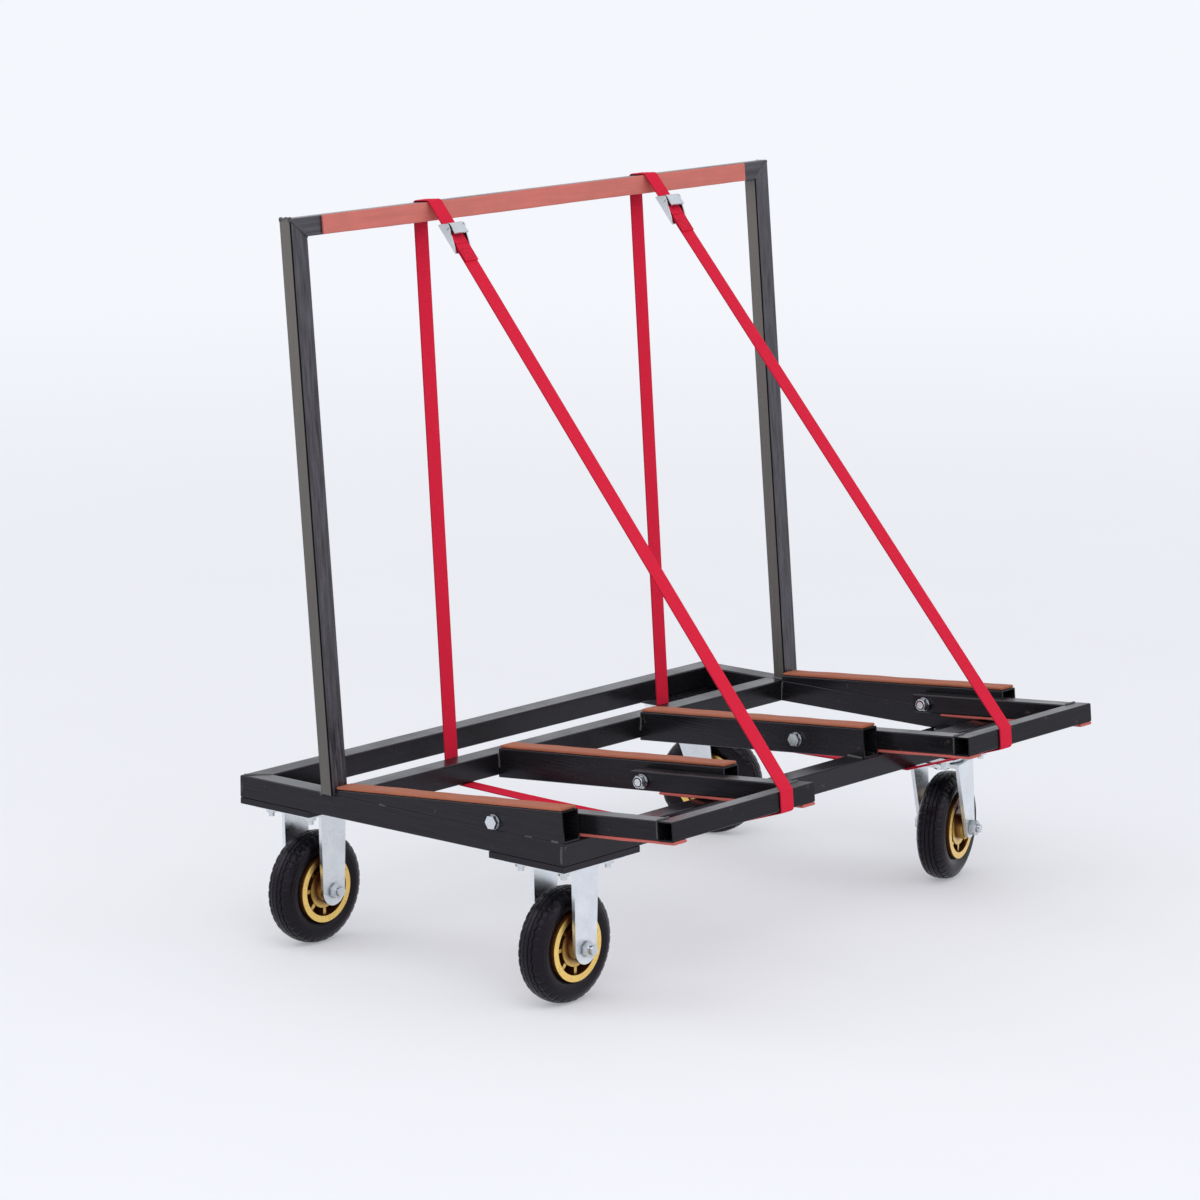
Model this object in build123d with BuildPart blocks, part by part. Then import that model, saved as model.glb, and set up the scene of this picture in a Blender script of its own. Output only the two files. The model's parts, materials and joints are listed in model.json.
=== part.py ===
from build123d import *
import os
from math import cos, radians, sin

# Drywall cart: a welded base on four casters, a tilted deck of four padded tubes, two fold-over
# front frames, a leaning back frame and two webbing straps with cam buckles.
# Millimetres, +X along the cart to the swivel end, +Y to the back, +Z up, floor at Z = 0.

# Base frame
base_length = 950.0
base_depth = 560.0
rail_size = 30.0
rail_wall = 2.0
tube_corner = 2.0
corner_plate_length = 145.0
corner_plate_depth = 124.0
corner_plate_thickness = 8.0
caster_height = 190.0

# Deck tubes, tilted so that sheets lean towards the back frame
deck_tilt = 4.9
deck_tube_width = 30.0
deck_tube_height = 40.0
deck_tube_wall = 2.0
pad_width = 28.0
pad_thickness = 4.0
pad_corner = 1.2
pad_end_gap = 2.0

# Fold-over front frames
front_frame_width = 278.0
front_tube = 25.0
front_wall = 1.8
fold_clearance = 12.0
pivot_setback = 113.0
pivot_height = 19.5
leg_tail = 20.0
side_gap = 3.0
strip_thickness = 4.0
strip_pivot_gap = 26.0

# Pivot bolts of the front frames
pivot_radius = 5.0
pivot_fit = 0.06
pivot_flange_radius = 9.5
pivot_flange_thickness = 2.0
pivot_hex_flats = 16.0
pivot_head_height = 6.0
pivot_nut_height = 8.0
pivot_tip = 3.0
washer_radius = 10.0
face_clearance = 0.2

# Back frame
post_width = 30.0
post_depth = 20.0
post_wall = 2.0
top_rail_height = 25.0
frame_width = 962.0
frame_inset = 171.6
frame_length = 739.5
rail_pad_length = 850.0
rail_pad_thickness = 4.0

# Wheels
wheel_radius = 75.0
tyre_width = 40.0
tyre_bead_width = 32.0
tyre_crown_width = 27.0
tyre_crown_drop = 2.6
rim_radius = 45.0
groove_width = 1.6
groove_depth = 2.0
groove_pitch = 6.0
groove_count = 4
rim_inner_radius = 36.5
rim_width = 44.0
web_thickness = 8.0
hub_ring_radius = 26.0
hub_ring_width = 38.0
boss_radius = 17.0
hub_length = 60.0
rib_count = 8
rib_thickness = 5.0
rib_width = 36.0
bearing_radius = 11.0
bearing_recess = 1.0
axle_radius = 6.0
axle_fit = 0.06

# Caster forks
fork_gap = 62.0
fork_thickness = 5.0
rigid_leg_end_radius = 20.0
rigid_leg_top_width = 46.0
swivel_leg_end_radius = 15.0
caster_plate_length = 115.0
caster_plate_width = 100.0
caster_plate_thickness = 6.0
caster_bolt_spacing_x = 84.0
caster_bolt_spacing_y = 71.0
caster_bolt_radius = 4.0
caster_bolt_clearance = 0.3
caster_bolt_flats = 13.0
caster_bolt_head = 5.3
caster_nut_height = 6.5
caster_bolt_tip = 5.5
axle_flats = 18.0
axle_head = 7.5
axle_nut_height = 10.0
axle_tip = 4.5

# Swivel heads
swivel_inset = 87.5
swivel_trail = 22.5
front_swivel_angle = 15.0
rear_swivel_angle = -68.0
crown_thickness = 5.0
crown_radius = 34.0
crown_length = 54.0
race_thickness = 4.0
ball_radius = 3.5
ball_count = 14
ball_circle_radius = 21.0
ball_clearance = 0.1
skirt_radius = 30.0
skirt_wall = 2.5
skirt_gap = 1.2
kingpin_radius = 6.0
kingpin_fit = 0.06
kingpin_flats = 19.0
kingpin_nut_height = 8.0

# Straps and cam buckles
strap_rail_offset = 218.0
left_strap_bar_offset = 222.0
right_strap_bar_offset = 243.0
strap_width = 26.0
strap_thickness = 2.5
strap_clearance = 0.3
strap_sag = 3.0
buckle_distance = 59.0
buckle_length = 46.0
buckle_plate = 1.8
buckle_side_gap = 1.2
cheek_height = 12.5
lever_pin_radius = 2.0
lever_pin_fit = 0.06
lever_pin_height = 8.2
lever_pin_offset = 13.0
lever_pin_head = 1.2
lever_pin_head_radius = 4.0
lever_plate_thickness = 2.2
lever_reach = 14.5
lever_angle = 5.0
lever_clearance = 0.5
lever_side_gap = 2.0

# Places worked out from the sizes above
tilt_cos = cos(radians(deck_tilt))
tilt_sin = sin(radians(deck_tilt))
rail_bottom = caster_height + corner_plate_thickness
rail_top = rail_bottom + rail_size
rail_middle = (rail_bottom + rail_top) / 2
leg_base = pivot_height - front_tube / 2
frame_setback = (base_depth - frame_inset) * tilt_cos
front_reach = frame_setback - 2 * pivot_setback - fold_clearance
strap_stand = strap_clearance + strap_thickness
front_overhang = front_reach * tilt_cos - leg_base * tilt_sin + strap_stand
front_y = (front_overhang - base_depth) / 2
back_y = front_y + base_depth
half_length = base_length / 2
frame_top = frame_length + frame_setback * tilt_sin / tilt_cos
cross_front_y = front_y + frame_setback / tilt_cos
cross_back_y = cross_front_y + rail_size

# Deck frame: local x along the cart, local y back along the deck tubes, local z square to the deck
deck = Plane(origin=(0, front_y, rail_top), x_dir=(1, 0, 0), z_dir=(0, tilt_sin, tilt_cos))
deck_back = deck.y_dir
deck_up = deck.z_dir

outer_tube_x = half_length - deck_tube_width / 2
front_frame_x = half_length - deck_tube_width - side_gap - front_frame_width / 2
inner_tube_x = front_frame_x - front_frame_width / 2 - side_gap - deck_tube_width / 2

sides = {"left": -1, "right": 1}


def save(piece, name):
    """Label a finished piece and write its file."""
    piece.part.label = name
    export_step(piece.part, f"parts/{name}.step")


def tube_section(width, height, wall):
    """Draw the section of a rounded rectangular tube."""
    RectangleRounded(width, height, tube_corner)
    Rectangle(width - 2 * wall, height - 2 * wall, mode=Mode.SUBTRACT)


def deck_point(x, along, above):
    """Point in the deck frame: along the cart, back along the deck, square to the deck."""
    return deck.from_local_coords((x, along, above))


def cut_round(plane, radius, depth):
    """Cut a round hole both ways along the normal of a plane."""
    with BuildSketch(plane) as outline:
        Circle(radius)
    extrude(outline.sketch, amount=depth, both=True, mode=Mode.SUBTRACT)


def add_round(plane, radius, length):
    """Add a round bar along the normal of a plane."""
    with BuildSketch(plane) as outline:
        Circle(radius)
    extrude(outline.sketch, amount=length)


def add_hex(plane, flats, height, bore=0.0):
    """Add a hexagon along the normal of a plane, with a bore if it is a nut."""
    with BuildSketch(plane) as outline:
        RegularPolygon(flats / 2, 6, major_radius=False)
        if bore:
            Circle(bore, mode=Mode.SUBTRACT)
    extrude(outline.sketch, amount=height)


os.makedirs("parts", exist_ok=True)


# Base rails: front, rear and end rails mitred at the corners
def base_rail(name, start, run, length, first_normal, last_normal):
    """Square tube of the base, cut at 45 degrees at both ends."""
    start = Vector(start)
    run = Vector(run)
    section_side = Vector(0, 0, 1).cross(run)
    inward = rail_size / 2
    origin = start + section_side * inward + Vector(0, 0, rail_middle)
    with BuildPart() as rail:
        with BuildSketch(Plane(origin=origin, x_dir=section_side, z_dir=run)):
            tube_section(rail_size, rail_size, rail_wall)
        extrude(amount=length)
        split(bisect_by=Plane(origin=start, z_dir=first_normal), keep=Keep.TOP)
        split(bisect_by=Plane(origin=start + run * length, z_dir=last_normal), keep=Keep.TOP)
    save(rail, name)


base_rail("front_rail", (-half_length, front_y, 0), (1, 0, 0), base_length, (1, -1, 0), (-1, -1, 0))
base_rail("right_end_rail", (half_length, front_y, 0), (0, 1, 0), base_depth, (1, 1, 0), (1, -1, 0))
base_rail("rear_rail", (half_length, back_y, 0), (-1, 0, 0), base_length, (-1, 1, 0), (1, 1, 0))
base_rail("left_end_rail", (-half_length, back_y, 0), (0, -1, 0), base_depth, (-1, -1, 0), (-1, 1, 0))

# Cross rail under the back frame, between the end rails
cross_length = base_length - 2 * rail_size
cross_start = (-cross_length / 2, (cross_front_y + cross_back_y) / 2, rail_middle)
with BuildPart() as cross_rail:
    with BuildSketch(Plane(origin=cross_start, x_dir=(0, 1, 0), z_dir=(1, 0, 0))):
        tube_section(rail_size, rail_size, rail_wall)
    extrude(amount=cross_length)
save(cross_rail, "cross_rail")

# Caster places: rigid casters at the left end, swivel casters at the right end
front_wheel_y = front_y + corner_plate_depth / 2
rear_wheel_y = back_y - corner_plate_depth / 2
rigid_x = -half_length + corner_plate_length / 2
swivel_x = half_length - swivel_inset
casters = {
    "front_left": (rigid_x, front_wheel_y, 0.0),
    "rear_left": (rigid_x, rear_wheel_y, 0.0),
    "front_right": (swivel_x, front_wheel_y, front_swivel_angle),
    "rear_right": (swivel_x, rear_wheel_y, rear_swivel_angle),
}
bolt_hole_radius = caster_bolt_radius + caster_bolt_clearance


def bolt_places(caster_x, caster_y):
    """The four bolts of a caster, in plan."""
    steps = (-1 / 2, 1 / 2)
    return [(caster_x + i * caster_bolt_spacing_x, caster_y + j * caster_bolt_spacing_y)
            for i in steps for j in steps]


def bolts_clear_of_rails(caster_x, caster_y):
    """Those of a caster's bolts that have room for a head between the rails, in plan."""
    clear_x = half_length - rail_size - caster_bolt_flats
    clear_y = base_depth / 2 - rail_size - caster_bolt_flats
    middle_y = (front_y + back_y) / 2
    return [(x, y) for x, y in bolt_places(caster_x, caster_y)
            if abs(x) < clear_x and abs(y - middle_y) < clear_y]


# Corner plates under the base corners, drilled for the casters
plate_spacing_x = base_length - corner_plate_length
plate_spacing_y = base_depth - corner_plate_depth
plate_middle_y = (front_y + back_y) / 2
with BuildPart() as corner_plates:
    with BuildSketch(Plane.XY.offset(caster_height)):
        with Locations((0, plate_middle_y)):
            with GridLocations(plate_spacing_x, plate_spacing_y, 2, 2):
                Rectangle(corner_plate_length, corner_plate_depth)
        for caster_x, caster_y, turn in casters.values():
            with Locations(*bolt_places(caster_x, caster_y)):
                Circle(caster_bolt_radius, mode=Mode.SUBTRACT)
    extrude(amount=corner_plate_thickness)
save(corner_plates, "corner_plates")


# Deck tubes with their pads
pad_length = frame_setback - 2 * pad_end_gap
for side, sign in sides.items():
    for place, tube_x in {"outer": outer_tube_x, "inner": inner_tube_x}.items():
        centre_x = sign * tube_x
        mouth = deck_point(centre_x, 0, deck_tube_height / 2)
        pivot = deck_point(centre_x, pivot_setback, pivot_height)
        with BuildPart() as deck_tube:
            with BuildSketch(Plane(origin=mouth, x_dir=(1, 0, 0), z_dir=deck_back)):
                tube_section(deck_tube_width, deck_tube_height, deck_tube_wall)
            extrude(amount=frame_setback + (0 if place == "outer" else rail_size))
            if place == "outer":
                split(bisect_by=Plane.XY.offset(rail_top), keep=Keep.TOP)
            else:
                back_cut = Plane(origin=(0, cross_front_y, 0), z_dir=(0, -1, 0))
                split(bisect_by=back_cut, keep=Keep.TOP)
                with BuildSketch(Plane.XY.offset(rail_bottom)):
                    with Locations((centre_x, front_y + rail_size / 2)):
                        Rectangle(deck_tube_width, rail_size)
                extrude(amount=rail_size, mode=Mode.SUBTRACT)
            cut_round(Plane(origin=pivot, z_dir=(1, 0, 0)), pivot_radius + pivot_fit, deck_tube_width)
        save(deck_tube, f"{side}_{place}_deck_tube")

    pad_start = deck_point(0, pad_end_gap, deck_tube_height + pad_thickness / 2)
    with BuildPart() as deck_pads:
        with BuildSketch(Plane(origin=pad_start, x_dir=(1, 0, 0), z_dir=deck_back)):
            with Locations((sign * outer_tube_x, 0), (sign * inner_tube_x, 0)):
                RectangleRounded(pad_width, pad_thickness, pad_corner)
        extrude(amount=pad_length)
    save(deck_pads, f"{side}_deck_pads")

# Front frames: a bar between two legs, rubber strips under the legs
leg_length = front_reach - front_tube + pivot_setback + leg_tail
strip_length = front_reach + pivot_setback - strip_pivot_gap
for side, sign in sides.items():
    frame_x = sign * front_frame_x
    bar_start = deck_point(frame_x - front_frame_width / 2, front_tube / 2 - front_reach, pivot_height)
    with BuildPart() as front_bar:
        with BuildSketch(Plane(origin=bar_start, x_dir=deck_back, z_dir=(1, 0, 0))):
            tube_section(front_tube, front_tube, front_wall)
        extrude(amount=front_frame_width)
    save(front_bar, f"{side}_front_bar")

    leg_offset = (front_frame_width - front_tube) / 2
    for place, leg_sign in {"outer": sign, "inner": -sign}.items():
        leg_x = frame_x + leg_sign * leg_offset
        leg_start = deck_point(leg_x, front_tube - front_reach, pivot_height)
        pivot = deck_point(leg_x, pivot_setback, pivot_height)
        with BuildPart() as front_leg:
            with BuildSketch(Plane(origin=leg_start, x_dir=(1, 0, 0), z_dir=deck_back)):
                tube_section(front_tube, front_tube, front_wall)
            extrude(amount=leg_length)
            cut_round(Plane(origin=pivot, z_dir=(1, 0, 0)), pivot_radius + pivot_fit, front_tube)
        save(front_leg, f"{side}_front_{place}_leg")

    with BuildPart() as strips:
        strip_start = deck_point(frame_x, -front_reach, leg_base - strip_thickness / 2)
        with BuildSketch(Plane(origin=strip_start, x_dir=(1, 0, 0), z_dir=deck_back)):
            with Locations((-leg_offset, 0), (leg_offset, 0)):
                RectangleRounded(front_tube, strip_thickness, pad_corner)
        extrude(amount=strip_length)
    save(strips, f"{side}_front_strips")

# Pivot bolts from the deck tubes' outer faces into the front frames, washers between, nuts inside
pivot_bolt_reach = deck_tube_width + side_gap + front_tube + pivot_nut_height + pivot_tip
pivot_places = []
for sign in sides.values():
    pivot_places.append((sign * (outer_tube_x + deck_tube_width / 2), -sign))
    pivot_places.append((sign * (inner_tube_x - deck_tube_width / 2), sign))

with BuildPart() as pivot_bolts:
    for face_x, inward in pivot_places:
        face = Plane(origin=deck_point(face_x, pivot_setback, pivot_height), x_dir=deck_back,
                     z_dir=(-inward, 0, 0))
        add_round(face, pivot_flange_radius, pivot_flange_thickness)
        add_hex(face.offset(pivot_flange_thickness), pivot_hex_flats, pivot_head_height)
        add_round(face, pivot_radius, -pivot_bolt_reach)
save(pivot_bolts, "pivot_bolts")

washer_hole = pivot_radius + face_clearance
with BuildPart() as pivot_washers:
    for face_x, inward in pivot_places:
        washer_x = face_x + inward * (deck_tube_width + face_clearance)
        with BuildSketch(Plane(origin=deck_point(washer_x, pivot_setback, pivot_height),
                               z_dir=(inward, 0, 0))):
            Circle(washer_radius)
            Circle(washer_hole, mode=Mode.SUBTRACT)
        extrude(amount=side_gap - 2 * face_clearance)
save(pivot_washers, "pivot_washers")

with BuildPart() as pivot_nuts:
    for face_x, inward in pivot_places:
        nut_x = face_x + inward * (deck_tube_width + side_gap + front_tube + face_clearance)
        seat = Plane(origin=deck_point(nut_x, pivot_setback, pivot_height), x_dir=deck_back,
                     z_dir=(inward, 0, 0))
        with BuildSketch(seat):
            Circle(pivot_flange_radius)
            Circle(pivot_radius + pivot_fit, mode=Mode.SUBTRACT)
        extrude(amount=pivot_flange_thickness)
        add_hex(seat.offset(pivot_flange_thickness), pivot_hex_flats,
                pivot_nut_height - pivot_flange_thickness, pivot_radius + pivot_fit)
save(pivot_nuts, "pivot_nuts")

# Back frame: two posts and a top rail, mitred, square to the deck
frame_half = frame_width / 2
post_x = frame_half - post_width / 2
post_axis_along = frame_setback + post_depth / 2
post_foot_drop = post_depth
for side, sign in sides.items():
    foot = deck_point(sign * post_x, post_axis_along, -post_foot_drop)
    top_corner = deck_point(sign * frame_half, post_axis_along, frame_top)
    mitre = Vector(sign * top_rail_height, 0, 0) - deck_up * post_width
    with BuildPart() as post:
        with BuildSketch(Plane(origin=foot, x_dir=(1, 0, 0), z_dir=deck_up)):
            tube_section(post_width, post_depth, post_wall)
        extrude(amount=frame_top + post_foot_drop)
        split(bisect_by=Plane.XY.offset(rail_top), keep=Keep.TOP)
        split(bisect_by=Plane(origin=top_corner, z_dir=mitre), keep=Keep.TOP)
    save(post, f"{side}_post")

rail_height_above = frame_top - top_rail_height / 2
top_rail_start = deck_point(-frame_half, post_axis_along, rail_height_above)
with BuildPart() as top_rail:
    with BuildSketch(Plane(origin=top_rail_start, x_dir=deck_up, z_dir=(1, 0, 0))):
        tube_section(top_rail_height, post_depth, post_wall)
    extrude(amount=frame_width)
    for sign in sides.values():
        top_corner = deck_point(sign * frame_half, post_axis_along, frame_top)
        mitre = deck_up * post_width - Vector(sign * top_rail_height, 0, 0)
        split(bisect_by=Plane(origin=top_corner, z_dir=mitre), keep=Keep.TOP)
save(top_rail, "top_rail")

rail_pad_start = deck_point(-rail_pad_length / 2, frame_setback - rail_pad_thickness / 2,
                            rail_height_above)
with BuildPart() as rail_pad:
    with BuildSketch(Plane(origin=rail_pad_start, x_dir=deck_up, z_dir=(1, 0, 0))):
        RectangleRounded(top_rail_height, rail_pad_thickness, pad_corner)
    extrude(amount=rail_pad_length)
save(rail_pad, "top_rail_pad")


# Wheels, the same on all four casters
def wheel_frame(centre, turn):
    """Plane through a wheel's centre: local x along the axle, local y up, normal along the roll."""
    roll = Vector(1, 0, 0).rotate(Axis.Z, turn)
    axle = Vector(0, 1, 0).rotate(Axis.Z, turn)
    return Plane(origin=centre, x_dir=axle, z_dir=roll)


def make_tyre(frame, name):
    """Rubber tyre: a rounded section turned round the axle, with grooves round the tread."""
    bead = tyre_bead_width / 2
    shoulder = tyre_crown_width / 2
    shoulder_radius = wheel_radius - tyre_crown_drop
    wall = tyre_width / 2
    wall_radius = (rim_radius + shoulder_radius) / 2
    with BuildPart() as tyre:
        with BuildSketch(frame):
            with BuildLine():
                Line((-bead, rim_radius), (bead, rim_radius))
                ThreePointArc((bead, rim_radius), (wall, wall_radius), (shoulder, shoulder_radius))
                ThreePointArc((shoulder, shoulder_radius), (0, wheel_radius), (-shoulder, shoulder_radius))
                ThreePointArc((-shoulder, shoulder_radius), (-wall, wall_radius), (-bead, rim_radius))
            make_face()
            groove_floor = wheel_radius - tyre_crown_drop - groove_depth / 2
            for index in range(groove_count):
                groove_x = (index - (groove_count - 1) / 2) * groove_pitch
                with Locations((groove_x, groove_floor + rim_radius / 2)):
                    Rectangle(groove_width, rim_radius, mode=Mode.SUBTRACT)
        revolve(axis=Axis(frame.origin, frame.x_dir))
    save(tyre, name)


def make_hub(frame, name):
    """Rim, web and boss turned round the axle, with thin radial ribs on both sides of the web."""
    with BuildPart() as hub:
        with BuildSketch(frame):
            with Locations((0, (rim_inner_radius + rim_radius) / 2)):
                Rectangle(rim_width, rim_radius - rim_inner_radius)
            with Locations((0, (hub_ring_radius + rim_inner_radius) / 2)):
                Rectangle(web_thickness, rim_inner_radius - hub_ring_radius)
            with Locations((0, (boss_radius + hub_ring_radius) / 2)):
                Rectangle(hub_ring_width, hub_ring_radius - boss_radius)
            with Locations((0, (bearing_radius + boss_radius) / 2)):
                Rectangle(hub_length, boss_radius - bearing_radius)
        revolve(axis=Axis(frame.origin, frame.x_dir))
        rib_reach = rim_inner_radius - hub_ring_radius + rib_thickness / 2
        with BuildSketch(Plane(origin=frame.origin, x_dir=frame.y_dir, z_dir=frame.x_dir)):
            with PolarLocations((hub_ring_radius + rim_inner_radius) / 2, rib_count):
                Rectangle(rib_reach, rib_thickness)
        extrude(amount=rib_width / 2, both=True)
    save(hub, name)


def make_bearing(frame, name):
    """Roller sleeve pressed in the hub, running on the axle."""
    bearing_length = hub_length - 2 * bearing_recess
    with BuildPart() as bearing:
        with BuildSketch(Plane(origin=frame.origin, z_dir=frame.x_dir)):
            Circle(bearing_radius)
            Circle(axle_radius + axle_fit, mode=Mode.SUBTRACT)
        extrude(amount=bearing_length / 2, both=True)
    save(bearing, name)


def add_axle(frame):
    """Axle bolt with its head at the back and its nut at the front."""
    half_span = fork_gap / 2 + fork_thickness
    head_face = Plane(origin=frame.origin + frame.x_dir * half_span, x_dir=frame.y_dir, z_dir=frame.x_dir)
    nut_face = Plane(origin=frame.origin - frame.x_dir * half_span, x_dir=frame.y_dir,
                     z_dir=frame.x_dir * -1)
    add_hex(head_face, axle_flats, axle_head)
    add_round(head_face, axle_radius, -(2 * half_span + axle_nut_height + axle_tip))
    add_hex(nut_face, axle_flats, axle_nut_height, axle_radius + axle_fit)


wheel_frames = {}
for corner, (caster_x, caster_y, turn) in casters.items():
    trail = Vector(swivel_trail if caster_x > 0 else 0, 0, 0).rotate(Axis.Z, turn)
    frame = wheel_frame(Vector(caster_x, caster_y, wheel_radius) + trail, turn)
    wheel_frames[corner] = frame
    make_tyre(frame, f"{corner}_tyre")
    make_hub(frame, f"{corner}_hub")
    make_bearing(frame, f"{corner}_bearing")

# Rigid casters: top plate and two legs in one pressed fork
plate_under = caster_height - caster_plate_thickness
fork_hole = axle_radius + axle_fit
rigid_corners = ("front_left", "rear_left")
swivel_corners = ("front_right", "rear_right")


def leg_plane(frame, side):
    """Middle plane of a fork leg: local x along the roll, local y up."""
    offset_out = side * (fork_gap + fork_thickness) / 2
    return Plane(origin=frame.origin + frame.x_dir * offset_out, x_dir=frame.z_dir,
                 z_dir=frame.x_dir * -1)


def add_leg(frame, side, end_radius, top_offset, top_width, top_height):
    """Fork leg: a round end at the axle drawn together with a straight top edge."""
    with BuildSketch(leg_plane(frame, side)) as outline:
        Circle(end_radius)
        with Locations((top_offset, top_height - fork_thickness / 2)):
            Rectangle(top_width, fork_thickness)
        make_hull()
        Circle(fork_hole, mode=Mode.SUBTRACT)
    extrude(outline.sketch, amount=fork_thickness / 2, both=True)


def add_caster_plate(caster_x, caster_y):
    """Drilled top plate of a caster, under the corner plate."""
    with BuildSketch(Plane.XY.offset(plate_under)) as outline:
        with Locations((caster_x, caster_y)):
            Rectangle(caster_plate_length, caster_plate_width)
        with Locations(*bolt_places(caster_x, caster_y)):
            Circle(bolt_hole_radius, mode=Mode.SUBTRACT)
    extrude(outline.sketch, amount=caster_plate_thickness)


for corner in rigid_corners:
    caster_x, caster_y, turn = casters[corner]
    with BuildPart() as rigid_fork:
        add_caster_plate(caster_x, caster_y)
        for side in (-1, 1):
            add_leg(wheel_frames[corner], side, rigid_leg_end_radius, 0, rigid_leg_top_width,
                    plate_under - wheel_radius)
    save(rigid_fork, f"{corner}_rigid_fork")

with BuildPart() as rigid_axles:
    for corner in rigid_corners:
        add_axle(wheel_frames[corner])
save(rigid_axles, "rigid_axles")

# Swivel casters: fixed plate with a race skirt, balls, kingpin and a turning fork
race_under = plate_under - race_thickness
crown_top = race_under - 2 * (ball_radius + ball_clearance)
crown_bottom = crown_top - crown_thickness
for corner in swivel_corners:
    caster_x, caster_y, turn = casters[corner]
    with BuildPart() as swivel_plate:
        add_caster_plate(caster_x, caster_y)
        add_round(Plane(origin=(caster_x, caster_y, plate_under)), skirt_radius, -race_thickness)
        with BuildSketch(Plane.XY.offset(race_under)):
            with Locations((caster_x, caster_y)):
                Circle(skirt_radius)
                Circle(skirt_radius - skirt_wall, mode=Mode.SUBTRACT)
        extrude(amount=crown_top + skirt_gap - race_under)
        cut_round(Plane(origin=(caster_x, caster_y, plate_under)), kingpin_radius, caster_plate_thickness)
    save(swivel_plate, f"{corner}_swivel_plate")

    frame = wheel_frames[corner]
    crown_plane = Plane(origin=(caster_x, caster_y, crown_bottom), x_dir=frame.z_dir, z_dir=(0, 0, 1))
    with BuildPart() as swivel_fork:
        with BuildSketch(crown_plane):
            Circle(crown_radius)
            Rectangle(crown_length, fork_gap + 2 * fork_thickness)
            Circle(kingpin_radius + kingpin_fit, mode=Mode.SUBTRACT)
        extrude(amount=crown_thickness)
        for side in (-1, 1):
            add_leg(frame, side, swivel_leg_end_radius, -swivel_trail, crown_length,
                    crown_top - wheel_radius)
    save(swivel_fork, f"{corner}_swivel_fork")

    with BuildPart() as swivel_axle:
        add_axle(frame)
    save(swivel_axle, f"{corner}_axle")

with BuildPart() as swivel_balls:
    for corner in swivel_corners:
        caster_x, caster_y, turn = casters[corner]
        with Locations((caster_x, caster_y, crown_top + ball_radius + ball_clearance)):
            with PolarLocations(ball_circle_radius, ball_count):
                Sphere(ball_radius)
save(swivel_balls, "swivel_balls")

with BuildPart() as kingpins:
    for corner in swivel_corners:
        caster_x, caster_y, turn = casters[corner]
        nut_top = crown_bottom - face_clearance
        nut_bottom = nut_top - kingpin_nut_height
        add_round(Plane(origin=(caster_x, caster_y, nut_bottom)), kingpin_radius, caster_height - nut_bottom)
        add_hex(Plane(origin=(caster_x, caster_y, nut_bottom)), kingpin_flats, kingpin_nut_height)
save(kingpins, "kingpins")

# Caster bolts down through the corner plates, nuts under the caster plates; those below a rail are studs
bolt_length = corner_plate_thickness + caster_plate_thickness + caster_nut_height + caster_bolt_tip
with BuildPart() as caster_bolts:
    for caster_x, caster_y, turn in casters.values():
        with BuildSketch(Plane.XY.offset(rail_bottom)):
            with Locations(*bolts_clear_of_rails(caster_x, caster_y)):
                RegularPolygon(caster_bolt_flats / 2, 6, major_radius=False)
        extrude(amount=caster_bolt_head)
        with BuildSketch(Plane.XY.offset(rail_bottom)):
            with Locations(*bolt_places(caster_x, caster_y)):
                Circle(caster_bolt_radius)
        extrude(amount=-bolt_length)
save(caster_bolts, "caster_bolts")

with BuildPart() as caster_nuts:
    for caster_x, caster_y, turn in casters.values():
        with BuildSketch(Plane.XY.offset(plate_under - caster_nut_height)):
            with Locations(*bolt_places(caster_x, caster_y)):
                RegularPolygon(caster_bolt_flats / 2, 6, major_radius=False)
                Circle(caster_bolt_radius + face_clearance, mode=Mode.SUBTRACT)
        extrude(amount=caster_nut_height)
save(caster_nuts, "caster_nuts")

# Straps: webbing loops over the top rail, round a front bar and under the base, where they hang a little
rail_front_top = deck_point(0, frame_setback - rail_pad_thickness, frame_top)
rail_rear_top = deck_point(0, frame_setback + post_depth, frame_top)
bar_top = deck_point(0, -front_reach, leg_base + front_tube)
bar_bottom = deck_point(0, -front_reach, leg_base)
front_foot = (front_y, rail_bottom)
rear_foot = (cross_back_y, rail_bottom)
strap_low = ((front_y + cross_back_y) / 2, rail_bottom - strap_sag)
strap_route = [
    rear_foot,
    (rail_rear_top.Y, rail_rear_top.Z),
    (rail_front_top.Y, rail_front_top.Z),
    (bar_top.Y, bar_top.Z),
    (bar_bottom.Y, bar_bottom.Z),
    front_foot,
]
strap_places = {
    "left": (-strap_rail_offset, -left_strap_bar_offset),
    "right": (strap_rail_offset, right_strap_bar_offset),
}
bar_from_rail = bar_top.Y - rail_front_top.Y
for side, (rail_x, bar_x) in strap_places.items():
    strap_middle = ((rail_x + bar_x) / 2, 0, 0)
    flank_normal = Vector(-bar_from_rail, bar_x - rail_x, 0)
    with BuildPart() as strap:
        with BuildSketch(Plane(origin=strap_middle, x_dir=(0, 1, 0), z_dir=(1, 0, 0))):
            with BuildLine():
                Polyline(*strap_route)
                ThreePointArc(front_foot, strap_low, rear_foot)
            make_face()
            offset(amount=strap_stand)
            offset(amount=-strap_thickness, mode=Mode.SUBTRACT)
        extrude(amount=strap_width + abs(bar_x - rail_x), both=True)
        for edge in (-1, 1):
            flank = (rail_x + edge * strap_width / 2, rail_front_top.Y, 0)
            split(bisect_by=Plane(origin=flank, z_dir=flank_normal * -edge), keep=Keep.TOP)
    save(strap, f"{side}_strap")

# Cam buckles on the straps' front runs, just below the top rail
run = Vector(0, bar_from_rail, bar_top.Z - rail_front_top.Z)
run_down = run.normalized()
run_out = Vector(1, 0, 0).cross(run_down) * -1
cheek_inner = strap_width / 2 + buckle_side_gap
cheek_outer = cheek_inner + buckle_plate


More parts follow.
